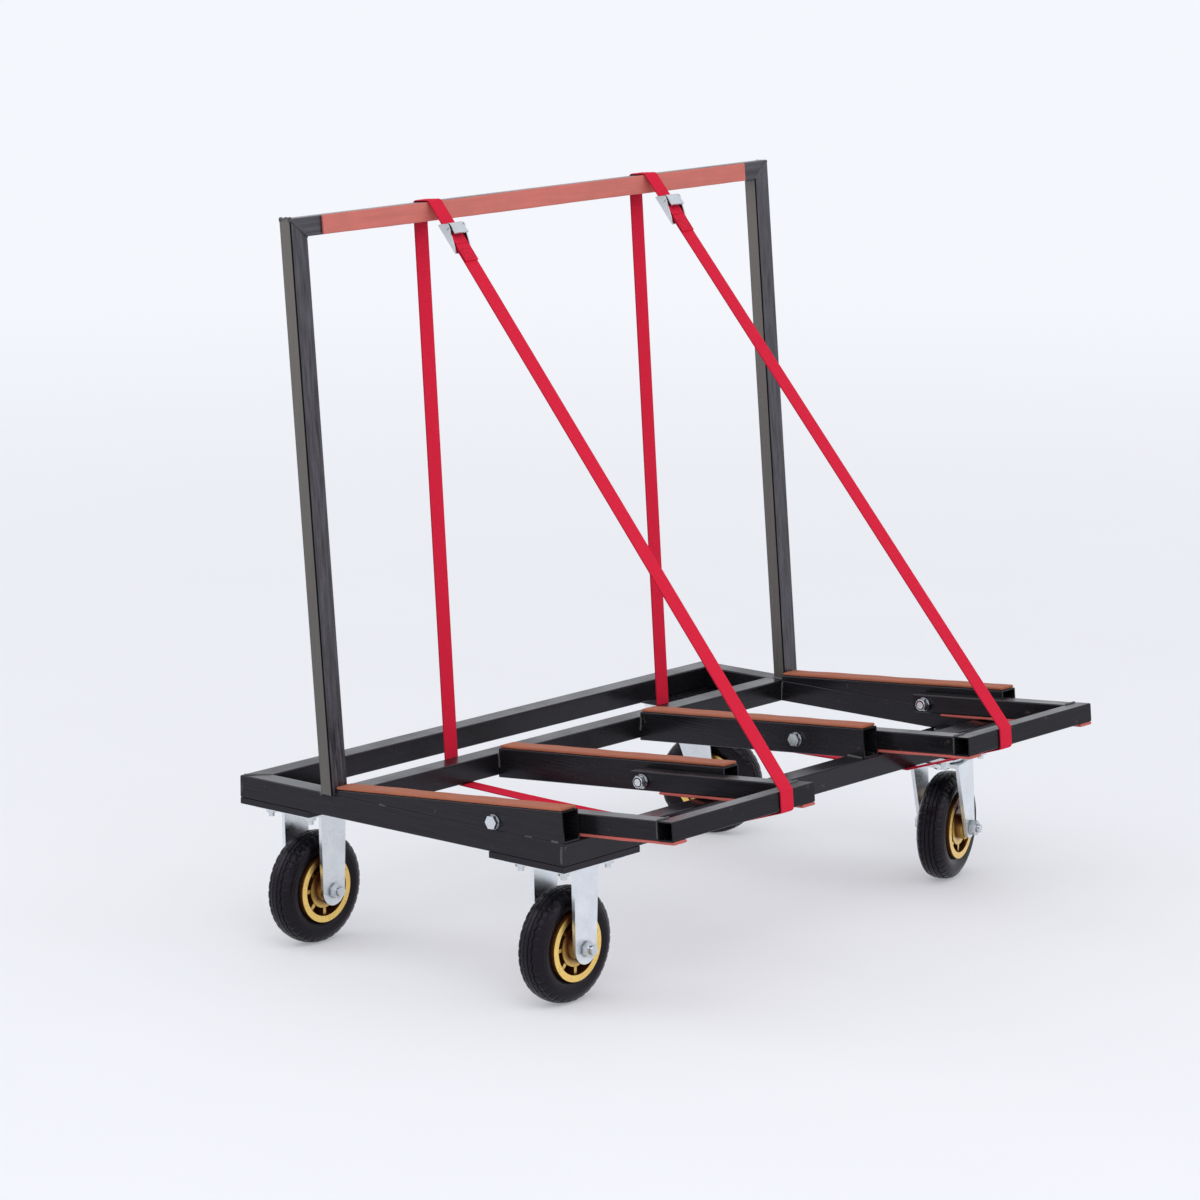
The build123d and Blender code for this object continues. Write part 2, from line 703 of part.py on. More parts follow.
def buckle_plane(side):
    """Plane under a strap's front run: local x across the strap, local y up it, normal outwards."""
    rail_x, bar_x = strap_places[side]
    buckle_x = rail_x + (bar_x - rail_x) * buckle_distance / run.length
    rail_edge = Vector(buckle_x, rail_front_top.Y, rail_front_top.Z)
    return Plane(origin=rail_edge + run_down * buckle_distance, x_dir=(1, 0, 0), z_dir=run_out)


for side in sides:
    buckle = buckle_plane(side)
    with BuildPart() as buckle_frame:
        with BuildSketch(buckle.offset(-buckle_plate)):
            Rectangle(2 * cheek_outer, buckle_length)
        extrude(amount=buckle_plate)
        for cheek_side in (-1, 1):
            cheek_middle = buckle.from_local_coords((cheek_side * (cheek_inner + buckle_plate / 2), 0, 0))
            with BuildSketch(Plane(origin=cheek_middle, x_dir=buckle.y_dir, z_dir=(1, 0, 0))):
                with Locations((lever_pin_offset, lever_pin_height)):
                    Circle(cheek_height - lever_pin_height)
                with Locations((0, -buckle_plate / 2)):
                    Rectangle(buckle_length, buckle_plate)
                make_hull()
                with Locations((lever_pin_offset, lever_pin_height)):
                    Circle(lever_pin_radius, mode=Mode.SUBTRACT)
            extrude(amount=buckle_plate / 2, both=True)
    save(buckle_frame, f"{side}_buckle_frame")

    pin_centre = buckle.from_local_coords((0, lever_pin_offset, lever_pin_height))
    cam_radius = lever_pin_height - strap_stand - lever_clearance
    lever_width = 2 * (cheek_inner - lever_side_gap)
    with BuildPart() as buckle_lever:
        with BuildSketch(Plane(origin=pin_centre, x_dir=buckle.y_dir, z_dir=(1, 0, 0))):
            Circle(cam_radius)
            with Locations(Location((0, 0), -lever_angle)):
                with Locations((-lever_reach / 2, cam_radius - lever_plate_thickness / 2)):
                    Rectangle(lever_reach, lever_plate_thickness)
            Circle(lever_pin_radius + lever_pin_fit, mode=Mode.SUBTRACT)
        extrude(amount=lever_width / 2, both=True)
    save(buckle_lever, f"{side}_buckle_lever")

with BuildPart() as buckle_pins:
    for side in sides:
        pin_end = buckle_plane(side).from_local_coords((-cheek_outer, lever_pin_offset, lever_pin_height))
        pin_start = Plane(origin=pin_end, z_dir=(1, 0, 0))
        add_round(pin_start, lever_pin_radius, 2 * cheek_outer)
        add_round(pin_start, lever_pin_head_radius, -lever_pin_head)
        add_round(pin_start.offset(2 * cheek_outer), lever_pin_head_radius, lever_pin_head)
save(buckle_pins, "buckle_pins")
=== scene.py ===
import json

import bmesh
import bpy
import numpy as np
from mathutils import Matrix, Vector


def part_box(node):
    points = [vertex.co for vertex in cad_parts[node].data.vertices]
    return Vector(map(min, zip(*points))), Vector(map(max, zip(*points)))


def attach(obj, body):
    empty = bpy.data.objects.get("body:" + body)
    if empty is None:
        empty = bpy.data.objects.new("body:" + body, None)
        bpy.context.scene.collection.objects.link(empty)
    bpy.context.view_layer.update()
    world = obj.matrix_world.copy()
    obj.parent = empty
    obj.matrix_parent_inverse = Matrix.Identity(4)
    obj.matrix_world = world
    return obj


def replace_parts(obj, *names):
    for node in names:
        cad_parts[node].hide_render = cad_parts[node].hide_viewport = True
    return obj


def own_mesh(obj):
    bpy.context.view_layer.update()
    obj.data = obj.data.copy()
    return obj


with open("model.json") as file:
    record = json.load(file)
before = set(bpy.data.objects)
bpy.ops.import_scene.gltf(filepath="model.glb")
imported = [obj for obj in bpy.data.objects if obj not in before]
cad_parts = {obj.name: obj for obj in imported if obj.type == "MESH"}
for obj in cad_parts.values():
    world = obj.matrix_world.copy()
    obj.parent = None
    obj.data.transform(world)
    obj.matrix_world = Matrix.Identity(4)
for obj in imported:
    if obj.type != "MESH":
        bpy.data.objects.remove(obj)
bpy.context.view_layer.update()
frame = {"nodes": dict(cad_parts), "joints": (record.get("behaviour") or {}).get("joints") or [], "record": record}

bl_info = {
    "name": "Drywall cart",
    "version": (1, 0, 0),
    "blender": (4, 5, 0),
    "location": "View3D > Sidebar > Cart",
    "description": "Dresses the frame of a drywall cart: paint, zinc, rubber, tyres, straps and welds",
    "category": "Object",
}

JOINTS = {joint["name"]: joint for joint in frame["joints"]}
SIDES = {"left": -1, "right": 1}
WHEELS = ("front_left", "rear_left", "front_right", "rear_right")

# The deck's own directions: back along the tubes and square up from them, from the front rail's top front edge
DECK_UP = np.array(frame["record"]["mounts"][0]["axis"])
DECK_BACK = np.array([0, DECK_UP[2], -DECK_UP[1]])
DECK_FRONT = np.array([0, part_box("front_rail")[0].y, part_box("front_rail")[1].z])

# Places in those directions: the back frame's front face and top, the front bars' front face, foot and top, and
# the ends of the deck pads and the strips
FRAME_SETBACK, FRAME_TOP = 0.38698, 0.77268
BAR_FRONT, BAR_FOOT, BAR_HEAD = -0.14898, 0.007, 0.032
PAD_END, STRIP_END = 0.002, 0.087

# Sizes of the deck tubes, the posts, and the top rail with its pad's thickness and half length
DECK_HEIGHT = 0.040
POST_WIDTH, POST_DEPTH = 0.030, 0.020
TOP_RAIL_HEIGHT, RAIL_PAD, RAIL_PAD_HALF = 0.025, 0.004, 0.425

# How far the straps stand from the cart's middle, on the top rail and on the front bars
STRAP_RAIL_X = 0.218
STRAP_BAR_X = {"left": 0.222, "right": 0.243}

# How far a pivot's nut stands out from the leg that it is screwed against, and the inner radius, outer radius and
# height of the collar and the insert on it
NUT_HEIGHT = 0.0082
LOCK_COLLAR = (0.0064, 0.0078, 0.0027)
LOCK_INSERT = (0.0051, 0.0065, 0.0014)

# How far the middle of each front frame stands from the cart's middle
FRONT_FRAME_X = 0.303

# The camera's place in metres, its heading, dip and roll in degrees, and its lens in millimetres
CAMERA_PLACE = (-4.6683, -3.8610, 1.6402)
CAMERA_TURN = (49.368, 11.249, -0.059)
CAMERA_LENS = 140.01


def deck_point(x, along, above):
    """Point at x, so far back along the deck tubes and so far square above their feet, in metres."""
    return np.array([x, 0, 0]) + DECK_FRONT + along * DECK_BACK + above * DECK_UP


def deck_foot(x, along, rail_top):
    """Point on the rail's top under a deck tube's side, so far back along the tube."""
    return np.array([*deck_point(x, along, 0)[:2], rail_top])


def deck_run(start, end, share):
    """Run of a weld bead between two places in the deck's directions, with its share of the bead's radius."""
    return deck_point(*start), deck_point(*end), share


def each(places, *names):
    """Every name with each place put in front of it."""
    return [f"{place}_{name}" for place in places for name in names]


# Properties


def length(name, description, default):
    """A length that a user would change, in metres."""
    return bpy.props.FloatProperty(name=name, description=description, default=default, min=0,
                                   precision=4, unit="LENGTH")


def colour(name, description, default):
    """A colour that a user would change."""
    return bpy.props.FloatVectorProperty(name=name, description=description, default=default, size=3,
                                         min=0, max=1, subtype="COLOR")


class CartSizes(bpy.types.PropertyGroup):
    """Sizes of the pieces that the frame's solids leave plain."""

    strap_width: length("Strap width", "Width of the webbing", 0.026)
    strap_thickness: length("Strap thickness", "Thickness of the webbing", 0.0025)
    strap_clearance: length("Strap clearance", "Gap between the webbing and what it goes round", 0.0003)
    strap_bend: length("Strap bend", "Inner radius where the webbing goes round a tube's edge", 0.0025)
    rib_pitch: length("Webbing rib pitch", "Distance between the ribs along the webbing", 0.0043)
    seam_length: length("Seam length", "Length of the sewn doubled end below a buckle", 0.027)
    strap_split: length("Strap split", "Where the slack half of a strap begins, behind the front rail", 0.4015)
    strap_sag: length("Strap sag", "How far the straps hang below the rails", 0.003)
    pad_width: length("Pad width", "Width of the deck pads", 0.028)
    strip_width: length("Strip width", "Width of the front frames' strips", 0.025)
    pad_height: length("Pad height", "Thickness of the pads and strips", 0.004)
    weld_radius: length("Weld radius", "Half the width of a weld bead", 0.0026)
    weld_ripple: length("Weld ripple", "Distance between the ripples of a weld bead", 0.0032)
    tread_depth: length("Tread depth", "Depth of the tread's grooves", 0.0021)


class CartColours(bpy.types.PropertyGroup):
    """Colours of the finishes."""

    paint: colour("Paint", "Black paint on the tubes", (0.0080, 0.0075, 0.0090))
    # Brownish grey that the back frame's faces towards the fixed casters' end take as painted light, paler towards
    # the top
    worn: colour("Worn paint", "Rubbed faces of the back frame", (0.085, 0.078, 0.066))
    zinc: colour("Zinc", "Zinc plating on forks, plates and fasteners", (0.815, 0.855, 0.89))
    deck_rubber: colour("Deck rubber", "Pads on the deck tubes", (0.40, 0.125, 0.066))
    rail_rubber: colour("Rail rubber", "Pad along the top rail", (0.61, 0.170, 0.138))
    strip_rubber: colour("Strip rubber", "Strips under the front frames", (0.54, 0.125, 0.105))
    tyre_rubber: colour("Tyre rubber", "Tyres", (0.0044, 0.0041, 0.0052))
    gold: colour("Gold", "Rims", (1.0, 0.66, 0.185))
    webbing: colour("Webbing", "Straps", (0.80, 0.012, 0.050))
    floor: colour("Floor", "Studio floor", (0.90, 0.905, 0.94))


# Finishes


def feed(tree, node, inputs):
    """Links each input that is given a socket, and sets any other value on it."""
    for key, value in inputs.items():
        if isinstance(value, bpy.types.NodeSocket):
            tree.links.new(value, node.inputs[key])
        else:
            node.inputs[key].default_value = value


def add_node(tree, kind, inputs=None, **settings):
    """New node with its settings and inputs."""
    made = tree.nodes.new(kind)
    for key, value in settings.items():
        setattr(made, key, value)
    feed(tree, made, inputs or {})
    return made


def work_out(tree, operation, *values):
    """Result of a math node on one or two values."""
    return add_node(tree, "ShaderNodeMath", dict(enumerate(values)), operation=operation).outputs["Value"]


def new_finish(name, coords="Object"):
    """New material; returns it with its tree and the coordinates its patterns read."""
    material = bpy.data.materials.new(name)
    material.use_nodes = True
    tree = material.node_tree
    return material, tree, add_node(tree, "ShaderNodeTexCoord").outputs[coords]


def dress(material, inputs):
    """The material with its shader's inputs fed."""
    feed(material.node_tree, material.node_tree.nodes["Principled BSDF"], inputs)
    return material


def noise(tree, where, scale, detail=3.0, stretch=(1, 1, 1)):
    """Noise with that many patches to the metre, drawn out along an axis where stretch is below 1."""
    if stretch != (1, 1, 1):
        where = add_node(tree, "ShaderNodeMapping", {"Vector": where, "Scale": stretch}).outputs["Vector"]
    return add_node(tree, "ShaderNodeTexNoise",
                    {"Vector": where, "Scale": scale, "Detail": detail}).outputs["Fac"]


def spread(tree, value, low, high, start=0.3, end=0.7):
    """Value from start to end carried over to low to high, smoothly."""
    return add_node(tree, "ShaderNodeMapRange",
                    {"Value": value, "From Min": start, "From Max": end, "To Min": low, "To Max": high},
                    interpolation_type="SMOOTHSTEP").outputs["Result"]


def shade(tone, factor):
    """A colour made lighter or darker by a factor, kept within range."""
    return tuple(min(1.0, part * factor) for part in tone)


def tones(tree, value, tone, *factors):
    """Colour ramp through shades of a tone, evenly spaced over the middle of the noise's values."""
    ramp = add_node(tree, "ShaderNodeValToRGB", {"Fac": value})
    for _ in factors[2:]:
        ramp.color_ramp.elements.new(0.5)
    for element, stop, factor in zip(ramp.color_ramp.elements, np.linspace(0.3, 0.7, len(factors)), factors):
        element.position = stop
        element.color = (*shade(tone, factor), 1)
    return ramp.outputs["Color"]


def mix_tones(tree, factor, first, second):
    """First colour where factor is 0, second where it is 1."""
    ends = [end if isinstance(end, bpy.types.NodeSocket) else (*end, 1) for end in (first, second)]
    return add_node(tree, "ShaderNodeMix", {0: factor, 6: ends[0], 7: ends[1]}, data_type="RGBA").outputs[2]


def relief(tree, height, distance, strength=0.5):
    """Normal of a fine surface relief of that height in metres."""
    return add_node(tree, "ShaderNodeBump",
                    {"Height": height, "Distance": distance, "Strength": strength}).outputs["Normal"]


def crevice_shade(tree, reach, start=0.25, end=0.85):
    """1 in the open, falling to 0 where the surface lies deep between others within that reach: the mask of painted
    shade in crevices.
    """
    open_air = add_node(tree, "ShaderNodeAmbientOcclusion", {"Distance": reach}, samples=16).outputs["AO"]
    return spread(tree, open_air, 0, 1, start, end)


def seen_rays(tree):
    """1 for what the camera sees, straight or in gloss and glass, and 0 for the light that falls on the cart."""
    rays = add_node(tree, "ShaderNodeLightPath").outputs
    seen = work_out(tree, "MAXIMUM", rays["Is Camera Ray"], rays["Is Glossy Ray"])
    return work_out(tree, "MAXIMUM", seen, rays["Is Transmission Ray"])


def black_paint(colours, name, drawn, gloss):
    """Black paint on drawn tube: fine lines along the tube, uneven gloss and a few brownish scuffs."""
    material, tree, where = new_finish(name)
    paint = colours.paint
    lines = noise(tree, where, 620, 4, drawn)
    scuffs = spread(tree, noise(tree, where, 70, 7), 0, 0.8, 0.67, 0.76)
    coat = tones(tree, lines, paint, 0.65, 1.5)
    rust = (paint[0] * 8, paint[1] * 6, paint[2] * 4)
    return dress(material, {
        "Base Color": mix_tones(tree, scuffs, coat, rust),
        "Roughness": spread(tree, noise(tree, where, 11, 4), 0.17, 0.34),
        "Specular IOR Level": gloss,
        "Specular Tint": (0.92, 0.86, 1, 1),
        "Normal": relief(tree, lines, 0.0003, 0.25),
    })


def paint_with_painted_light(colours, name, drawn):
    """Thin paint on the back frame: streaks along the tube, painted shade darkening its rounded edges, and painted
    light turning the faces towards the fixed casters' end a brownish grey, paler towards the top."""
    material, tree, where = new_finish(name)
    paint, worn = colours.paint, colours.worn
    lines = noise(tree, where, 300, 4, drawn)
    streaks = noise(tree, where, 240, 3, tuple(part * 0.5 if part < 1 else part for part in drawn))
    facing = add_node(tree, "ShaderNodeNewGeometry").outputs["Normal"]
    ways = add_node(tree, "ShaderNodeSeparateXYZ", {"Vector": facing}).outputs
    height = add_node(tree, "ShaderNodeSeparateXYZ", {"Vector": where}).outputs["Z"]
    # Painted light: faces turned towards -x, the fixed casters' end, take the paler brownish grey
    side = spread(tree, work_out(tree, "MULTIPLY", ways["X"], -1.0), 0, 1, 0.8, 0.97)
    # Painted shade: the rounded edges, where the normal leans between x and y, turn near-black and metallic
    turned = work_out(tree, "ABSOLUTE", work_out(tree, "MULTIPLY", ways["X"], ways["Y"]))
    painted_edge_shade = spread(tree, turned, 0, 0.95, 0.1, 0.35)
    # Painted light, paler towards the top, from 0.35 m up to 0.95 m
    painted_side_light = mix_tones(tree, spread(tree, height, 0, 1, 0.35, 0.95), worn, shade(worn, 1.7))
    painted_side_lines = tones(tree, lines, worn, 0.8, 1.15)
    coat = tones(tree, streaks, paint, 0.4, 8)
    shown = mix_tones(tree, side, coat, mix_tones(tree, 0.4, painted_side_light, painted_side_lines))
    return dress(material, {
        "Base Color": mix_tones(tree, painted_edge_shade, shown, shade(paint, 0.5)),
        "Metallic": painted_edge_shade,
        "Roughness": spread(tree, streaks, 0.20, 0.36),
        "Specular IOR Level": 0.62,
        "Specular Tint": (0.96, 0.92, 1, 1),
        "Normal": relief(tree, lines, 0.0004, 0.4),
    })


def weld_paint(colours):
    """The same paint over weld beads, speckled."""
    material, tree, where = new_finish("weld_paint")
    patches = noise(tree, where, 220, 4)
    return dress(material, {
        "Base Color": tones(tree, patches, colours.paint, 0.7, 2.2),
        "Roughness": spread(tree, patches, 0.12, 0.26),
        "Specular IOR Level": 0.8,
        "Normal": relief(tree, noise(tree, where, 1400, 3), 0.0001, 0.3),
    })


def zinc_plate(tone, name, reach, dull, deep=0.3):
    """Zinc plating: faint crystal patches, fine drawn lines, duller clouds, and painted shade darkening its crevices
    to a share of the tone.
    """
    material, tree, where = new_finish(name)
    clouds = noise(tree, where, 38, 5)
    crystals = add_node(tree, "ShaderNodeTexVoronoi", {"Vector": where, "Scale": 210.0}).outputs["Color"]
    grey = add_node(tree, "ShaderNodeRGBToBW", {"Color": crystals}).outputs["Val"]
    bright = tones(tree, clouds, tone, 0.88, 1.05)
    spangled = mix_tones(tree, spread(tree, grey, 0, 0.35, 0.2, 0.8), bright, shade(tone, 0.92))
    return dress(material, {
        # Painted shade: where ambient occlusion finds a crevice, the zinc darkens to the deep share of its tone
        "Base Color": mix_tones(tree, crevice_shade(tree, reach), shade(tone, deep), spangled),
        "Metallic": 1.0,
        "Roughness": spread(tree, clouds, dull, dull + 0.16),
        "Normal": relief(tree, noise(tree, where, 900, 2, (1, 1, 0.08)), 0.00008, 0.3),
    })


def soft_rubber(name, tone, drawn):
    """Matt rubber strip: cloudy colour, faint lines along it, a few rub marks and a fine grain."""
    material, tree, where = new_finish(name)
    clouds = noise(tree, where, 24, 5)
    lines = noise(tree, where, 260, 3, drawn)
    rubs = spread(tree, noise(tree, where, 75, 6, drawn), 0, 0.4, 0.6, 0.78)
    base = tones(tree, clouds, tone, 0.9, 1, 1.08)
    lined = mix_tones(tree, spread(tree, lines, 0, 0.5), base, shade(tone, 0.86))
    return dress(material, {
        "Base Color": mix_tones(tree, rubs, lined, shade(tone, 0.72)),
        "Roughness": spread(tree, clouds, 0.62, 0.8),
        "Specular IOR Level": 0.35,
        "Normal": relief(tree, noise(tree, where, 1500, 3), 0.0003),
    })


def tyre_rubber(colours):
    """Black tyre rubber, slightly shiny, with a little dust and a fine grain."""
    material, tree, where = new_finish("tyre_rubber")
    dust = spread(tree, noise(tree, where, 55, 6), 0, 0.5, 0.52, 0.8)
    return dress(material, {
        "Base Color": mix_tones(tree, dust, colours.tyre_rubber, shade(colours.tyre_rubber, 2.6)),
        "Roughness": spread(tree, dust, 0.24, 0.50, 0, 0.5),
        "Specular IOR Level": 0.22,
        "Specular Tint": (0.92, 0.82, 1, 1),
        "Normal": relief(tree, noise(tree, where, 1300, 2), 0.0001, 0.3),
    })


def insert_nylon(colours):
    """Dark nylon of the lock nuts' inserts, slightly cloudy."""
    material, tree, where = new_finish("insert_nylon")
    clouds = noise(tree, where, 500, 3)
    return dress(material, {
        "Base Color": tones(tree, clouds, colours.tyre_rubber, 1, 3),
        "Roughness": spread(tree, clouds, 0.4, 0.6),
        "Specular IOR Level": 0.3,
    })


def gold_paint(colours):
    """Glossy gold on the rims: slightly cloudy, with small dull specks, and painted shade turning it dark brown deep
    in the pockets.
    """
    material, tree, where = new_finish("gold_paint")
    gold = colours.gold
    clouds = noise(tree, where, 60, 4)
    specks = spread(tree, noise(tree, where, 480, 3), 0, 0.3, 0.66, 0.78)
    base = tones(tree, clouds, gold, 0.92, 1.06)
    speckled = mix_tones(tree, specks, base, shade(gold, 0.7))
    # Dark brown of the painted shade deep in the rims' pockets
    deep = (gold[0] * 0.12, gold[1] * 0.05, gold[2] * 0.05)
    return dress(material, {
        "Base Color": mix_tones(tree, crevice_shade(tree, 0.026, 0.4, 0.9), deep, speckled),
        "Metallic": 0.45,
        "Roughness": spread(tree, clouds, 0.22, 0.34),
        "Normal": relief(tree, noise(tree, where, 700, 2), 0.00015, 0.3),
    })


def red_webbing(colours, width):
    """Woven webbing: over and under threads from the strip's own length and width, with painted shade darkening its
    edges.
    """
    material, tree, where = new_finish("red_webbing", "UV")
    warp, weft = (add_node(tree, "ShaderNodeTexWave", {"Vector": where, "Scale": scale, "Distortion": 0.6},
                           bands_direction=way).outputs["Fac"] for way, scale in (("X", 170.0), ("Y", 230.0)))
    red = colours.webbing
    weave = work_out(tree, "MULTIPLY", warp, weft)
    threads = tones(tree, weave, red, 0.8, 1, 1.15)
    worn = spread(tree, noise(tree, where, 16, 5), 0, 0.4)
    faded = mix_tones(tree, worn, threads, shade(red, 0.84))
    # Painted shade along both edges of the webbing, by the place across it
    across = add_node(tree, "ShaderNodeSeparateXYZ", {"Vector": where}).outputs["Y"]
    edge = spread(tree, work_out(tree, "ABSOLUTE", across), 0, 0.85, 0.445 * width, 0.48 * width)
    return dress(material, {
        "Base Color": mix_tones(tree, edge, faded, shade(red, 0.4)),
        "Roughness": spread(tree, weave, 0.82, 0.62),
        "Specular IOR Level": 0.18,
        "Normal": relief(tree, weave, 0.0004),
    })


def seam_thread(colours):
    """Dark red sewing thread with a twisted look."""
    material, tree, where = new_finish("seam_thread")
    twist = noise(tree, where, 2600, 2)
    return dress(material, {
        "Base Color": tones(tree, twist, colours.webbing, 0.25, 0.5),
        "Roughness": spread(tree, twist, 0.5, 0.75),
        "Normal": relief(tree, twist, 0.0002),
    })


def paint_nodes(material, *names):
    """Gives CAD nodes a finish in place of their plain one."""
    for name in names:
        slots = frame["nodes"][name].data.materials
        slots.clear()
        slots.append(material)


# Surfaces


def grid_surface(points, ring=False):
    """Points of a grid of closed rows, and the quads between neighbours; a ring joins its last row to its first."""
    rows, columns, _ = points.shape
    i, j = np.meshgrid(np.arange(rows if ring else rows - 1), np.arange(columns), indexing="ij")
    i_next, j_next = (i + 1) % rows, (j + 1) % columns
    corners = [i * columns + j, i_next * columns + j, i_next * columns + j_next, i * columns + j_next]
    return points.reshape(-1, 3), np.stack(corners, axis=-1).reshape(-1, 4)


def join_grids(grids):
    """Several (points, quads) pairs as one pair, with the quads' numbers moved on."""
    starts = np.cumsum([0] + [len(points) for points, _ in grids[:-1]])
    quads = [quad + start for (_, quad), start in zip(grids, starts)]
    return np.concatenate([points for points, _ in grids]), np.concatenate(quads)


def new_object(name, points, quads, material, flat_map=None):
    """Mesh object at the origin from points and quads, closed at its poles and facing out."""
    mesh = bpy.data.meshes.new(name)
    mesh.vertices.add(len(points))
    mesh.vertices.foreach_set("co", points.astype(np.float32).ravel())
    mesh.loops.add(quads.size)
    mesh.loops.foreach_set("vertex_index", quads.astype(np.int32).ravel())
    mesh.polygons.add(len(quads))
    mesh.polygons.foreach_set("loop_start", np.arange(0, quads.size, 4, dtype=np.int32))
    mesh.update(calc_edges=True)
    if flat_map is not None:
        layer = mesh.uv_layers.new(name="flat")
        layer.data.foreach_set("uv", flat_map[quads.ravel()].astype(np.float32).ravel())
    work = bmesh.new()
    work.from_mesh(mesh)
    bmesh.ops.remove_doubles(work, verts=work.verts, dist=2e-6)
    bmesh.ops.recalc_face_normals(work, faces=work.faces)
    work.to_mesh(mesh)
    work.free()
    mesh.shade_smooth()
    mesh.materials.append(material)
    made = bpy.data.objects.new(name, mesh)
    bpy.context.scene.collection.objects.link(made)
    return made


def new_piece(name, points, quads, material, body, slot, flat_map=None):
    """A new object as a piece of the cart, riding on a body."""
    piece = new_object(name, points, quads, material, flat_map)
    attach(piece, body)
    return piece


def smooth_step(value, start, end):
    """0 below start, 1 above end, and an S-curve between."""
    share = np.clip((value - start) / (end - start), 0, 1)
    return share * share * (3 - 2 * share)


def band(value, half_width, soft):
    """1 within half_width of nought, falling to 0 over a soft edge."""
    return 1 - smooth_step(np.abs(value), half_width - soft, half_width + soft)


def there_and_back(out, back):
    """One closed row from a row there and a row back, with their shared ends only once."""
    return np.concatenate([out, back[::-1][1:-1]])


def walk_along(line):
    """Length from a line's first point to each of its points."""
    return np.concatenate([[0], np.cumsum(np.linalg.norm(np.diff(line, axis=0), axis=1))])


def round_section(start, run, share, thick, sides, beside, wander=0):
    """Section of so many sides carried along a straight run: at each share of the run its radius is thick, and its
    middle lies off by wander, square to the run and to a direction beside it."""
    forward = run / np.linalg.norm(run)
    side = np.cross(forward, beside)
    side /= np.linalg.norm(side)
    over = np.cross(forward, side)
    around = np.linspace(0, 2 * np.pi, sides, endpoint=False)[None, :]
    return grid_surface(start + share[:, :, None] * run + (thick * np.cos(around) + wander)[:, :, None] * side
                        + (thick * np.sin(around))[:, :, None] * over)


def arc_through(start, middle, end, count):
    """Points on the circle through three points, from the first to the last."""
    a, b = middle - start, end - start
    cross = 2 * (a[0] * b[1] - a[1] * b[0])
    centre = start + np.array([b[1] * (a @ a) - a[1] * (b @ b), a[0] * (b @ b) - b[0] * (a @ a)]) / cross
    radius = np.linalg.norm(start - centre)
    angles = np.unwrap([np.arctan2(*(point - centre)[::-1]) for point in (start, middle, end)])
    sweep = np.linspace(angles[0], angles[2], count)
    return centre + radius * np.stack([np.cos(sweep), np.sin(sweep)], axis=1)


def tyre_surface(centre, axle, depth):
    """Tyre: a closed section of two side arcs, a crown arc and a flat seat, turned round the axle. Its points move in
    where the tread is cut, each cut a soft band of the angle and the way across: two plain grooves, two zigzag
    ones, cross cuts over the shoulders and fine cuts between."""
    bead, wall, shoulder = 0.016, 0.020, 0.0135
    rim, tread = 0.045, 0.075
    edge = tread - 0.0026
    plain_groove, zigzag_groove, tread_end, block_count = 0.0033, 0.0094, 0.0215, 36
    side = arc_through(np.array([bead, rim]), np.array([wall, (rim + edge) / 2]),
                       np.array([shoulder, edge]), 34)
    crown = arc_through(np.array([shoulder, edge]), np.array([0, tread]), np.array([-shoulder, edge]), 64)
    seat = np.stack([np.linspace(-bead, bead, 5), np.full(5, rim)], axis=1)
    section = np.concatenate([side[:-1], crown[:-1], (side * [-1, 1])[::-1][:-1], seat[:-1]])
    step = np.roll(section, -1, axis=0) - np.roll(section, 1, axis=0)
    outward = np.stack([step[:, 1], -step[:, 0]], axis=1)
    outward /= np.linalg.norm(outward, axis=1, keepdims=True)
    walk = walk_along(section)
    across = walk - walk[len(side) - 1 + len(crown) // 2]
    turn = np.linspace(0, 2 * np.pi, 720, endpoint=False)[:, None]
    far = np.abs(across)[None, :]
    blocks = block_count * turn / (2 * np.pi)
    zigzag = 0.0009 * (4 * np.abs(blocks % 1 - 0.5) - 1)
    offset = np.where(across > 0, 0.5, 0.0)[None, :]
    to_cut = ((blocks + offset) % 1 - 0.5) * 2 * np.pi * tread / block_count
    on_shoulder = smooth_step(far, 0.0092, 0.0100) * (1 - smooth_step(far, tread_end - 0.002, tread_end))
    on_rib = smooth_step(far, 0.0040, 0.0044) * (1 - smooth_step(far, 0.0080, 0.0086))
    cuts = np.maximum.reduce([
        band(far - plain_groove, 0.0008, 0.0003) + 0 * turn,
        band(far - zigzag_groove - zigzag, 0.0009, 0.0003),
        0.27 * band(to_cut, 0.0017, 0.0010) * on_shoulder,
        0.32 * band(to_cut + 0.6 * (far - 0.006), 0.0006, 0.0003) * on_rib,
    ])
    on_tread = 1 - smooth_step(far, tread_end, tread_end + 0.001)
    ridge = 0.0005 * (band(far - 0.0300, 0.0006, 0.0003) + band(far - 0.0262, 0.0004, 0.0003))
    flat = section - (depth * cuts * on_tread - ridge)[:, :, None] * outward
    axle, up = np.array(axle) / np.linalg.norm(axle), np.array([0, 0, 1.0])
    spoke = np.cos(turn) * up + np.sin(turn) * np.cross(axle, up)
    return grid_surface(np.array(centre) + flat[:, :, :1] * axle + flat[:, :, 1:] * spoke[:, None, :], True)


def ring_surface(centre, way, inner, outer, height):
    """Ring turned about a line along x: its section is a flat foot and, between the two radii, a top whose height
    falls off as a sixth-power round at both edges. It stands out the given way, 1 or -1."""
    lean = np.linspace(-1, 1, 13)
    radius = (inner + outer) / 2 + lean * (outer - inner) / 2
    rise = height * (1 - np.abs(lean) ** 6) ** 0.5
    radius = there_and_back(radius, radius)[None, :]
    rise = there_and_back(rise, 0 * rise)[None, :]
    turn = np.linspace(0, 2 * np.pi, 48, endpoint=False)[:, None]
    offset = np.stack([way * rise + 0 * turn, radius * np.cos(turn), radius * np.sin(turn)], axis=-1)
    return grid_surface(np.array(centre) + offset, True)


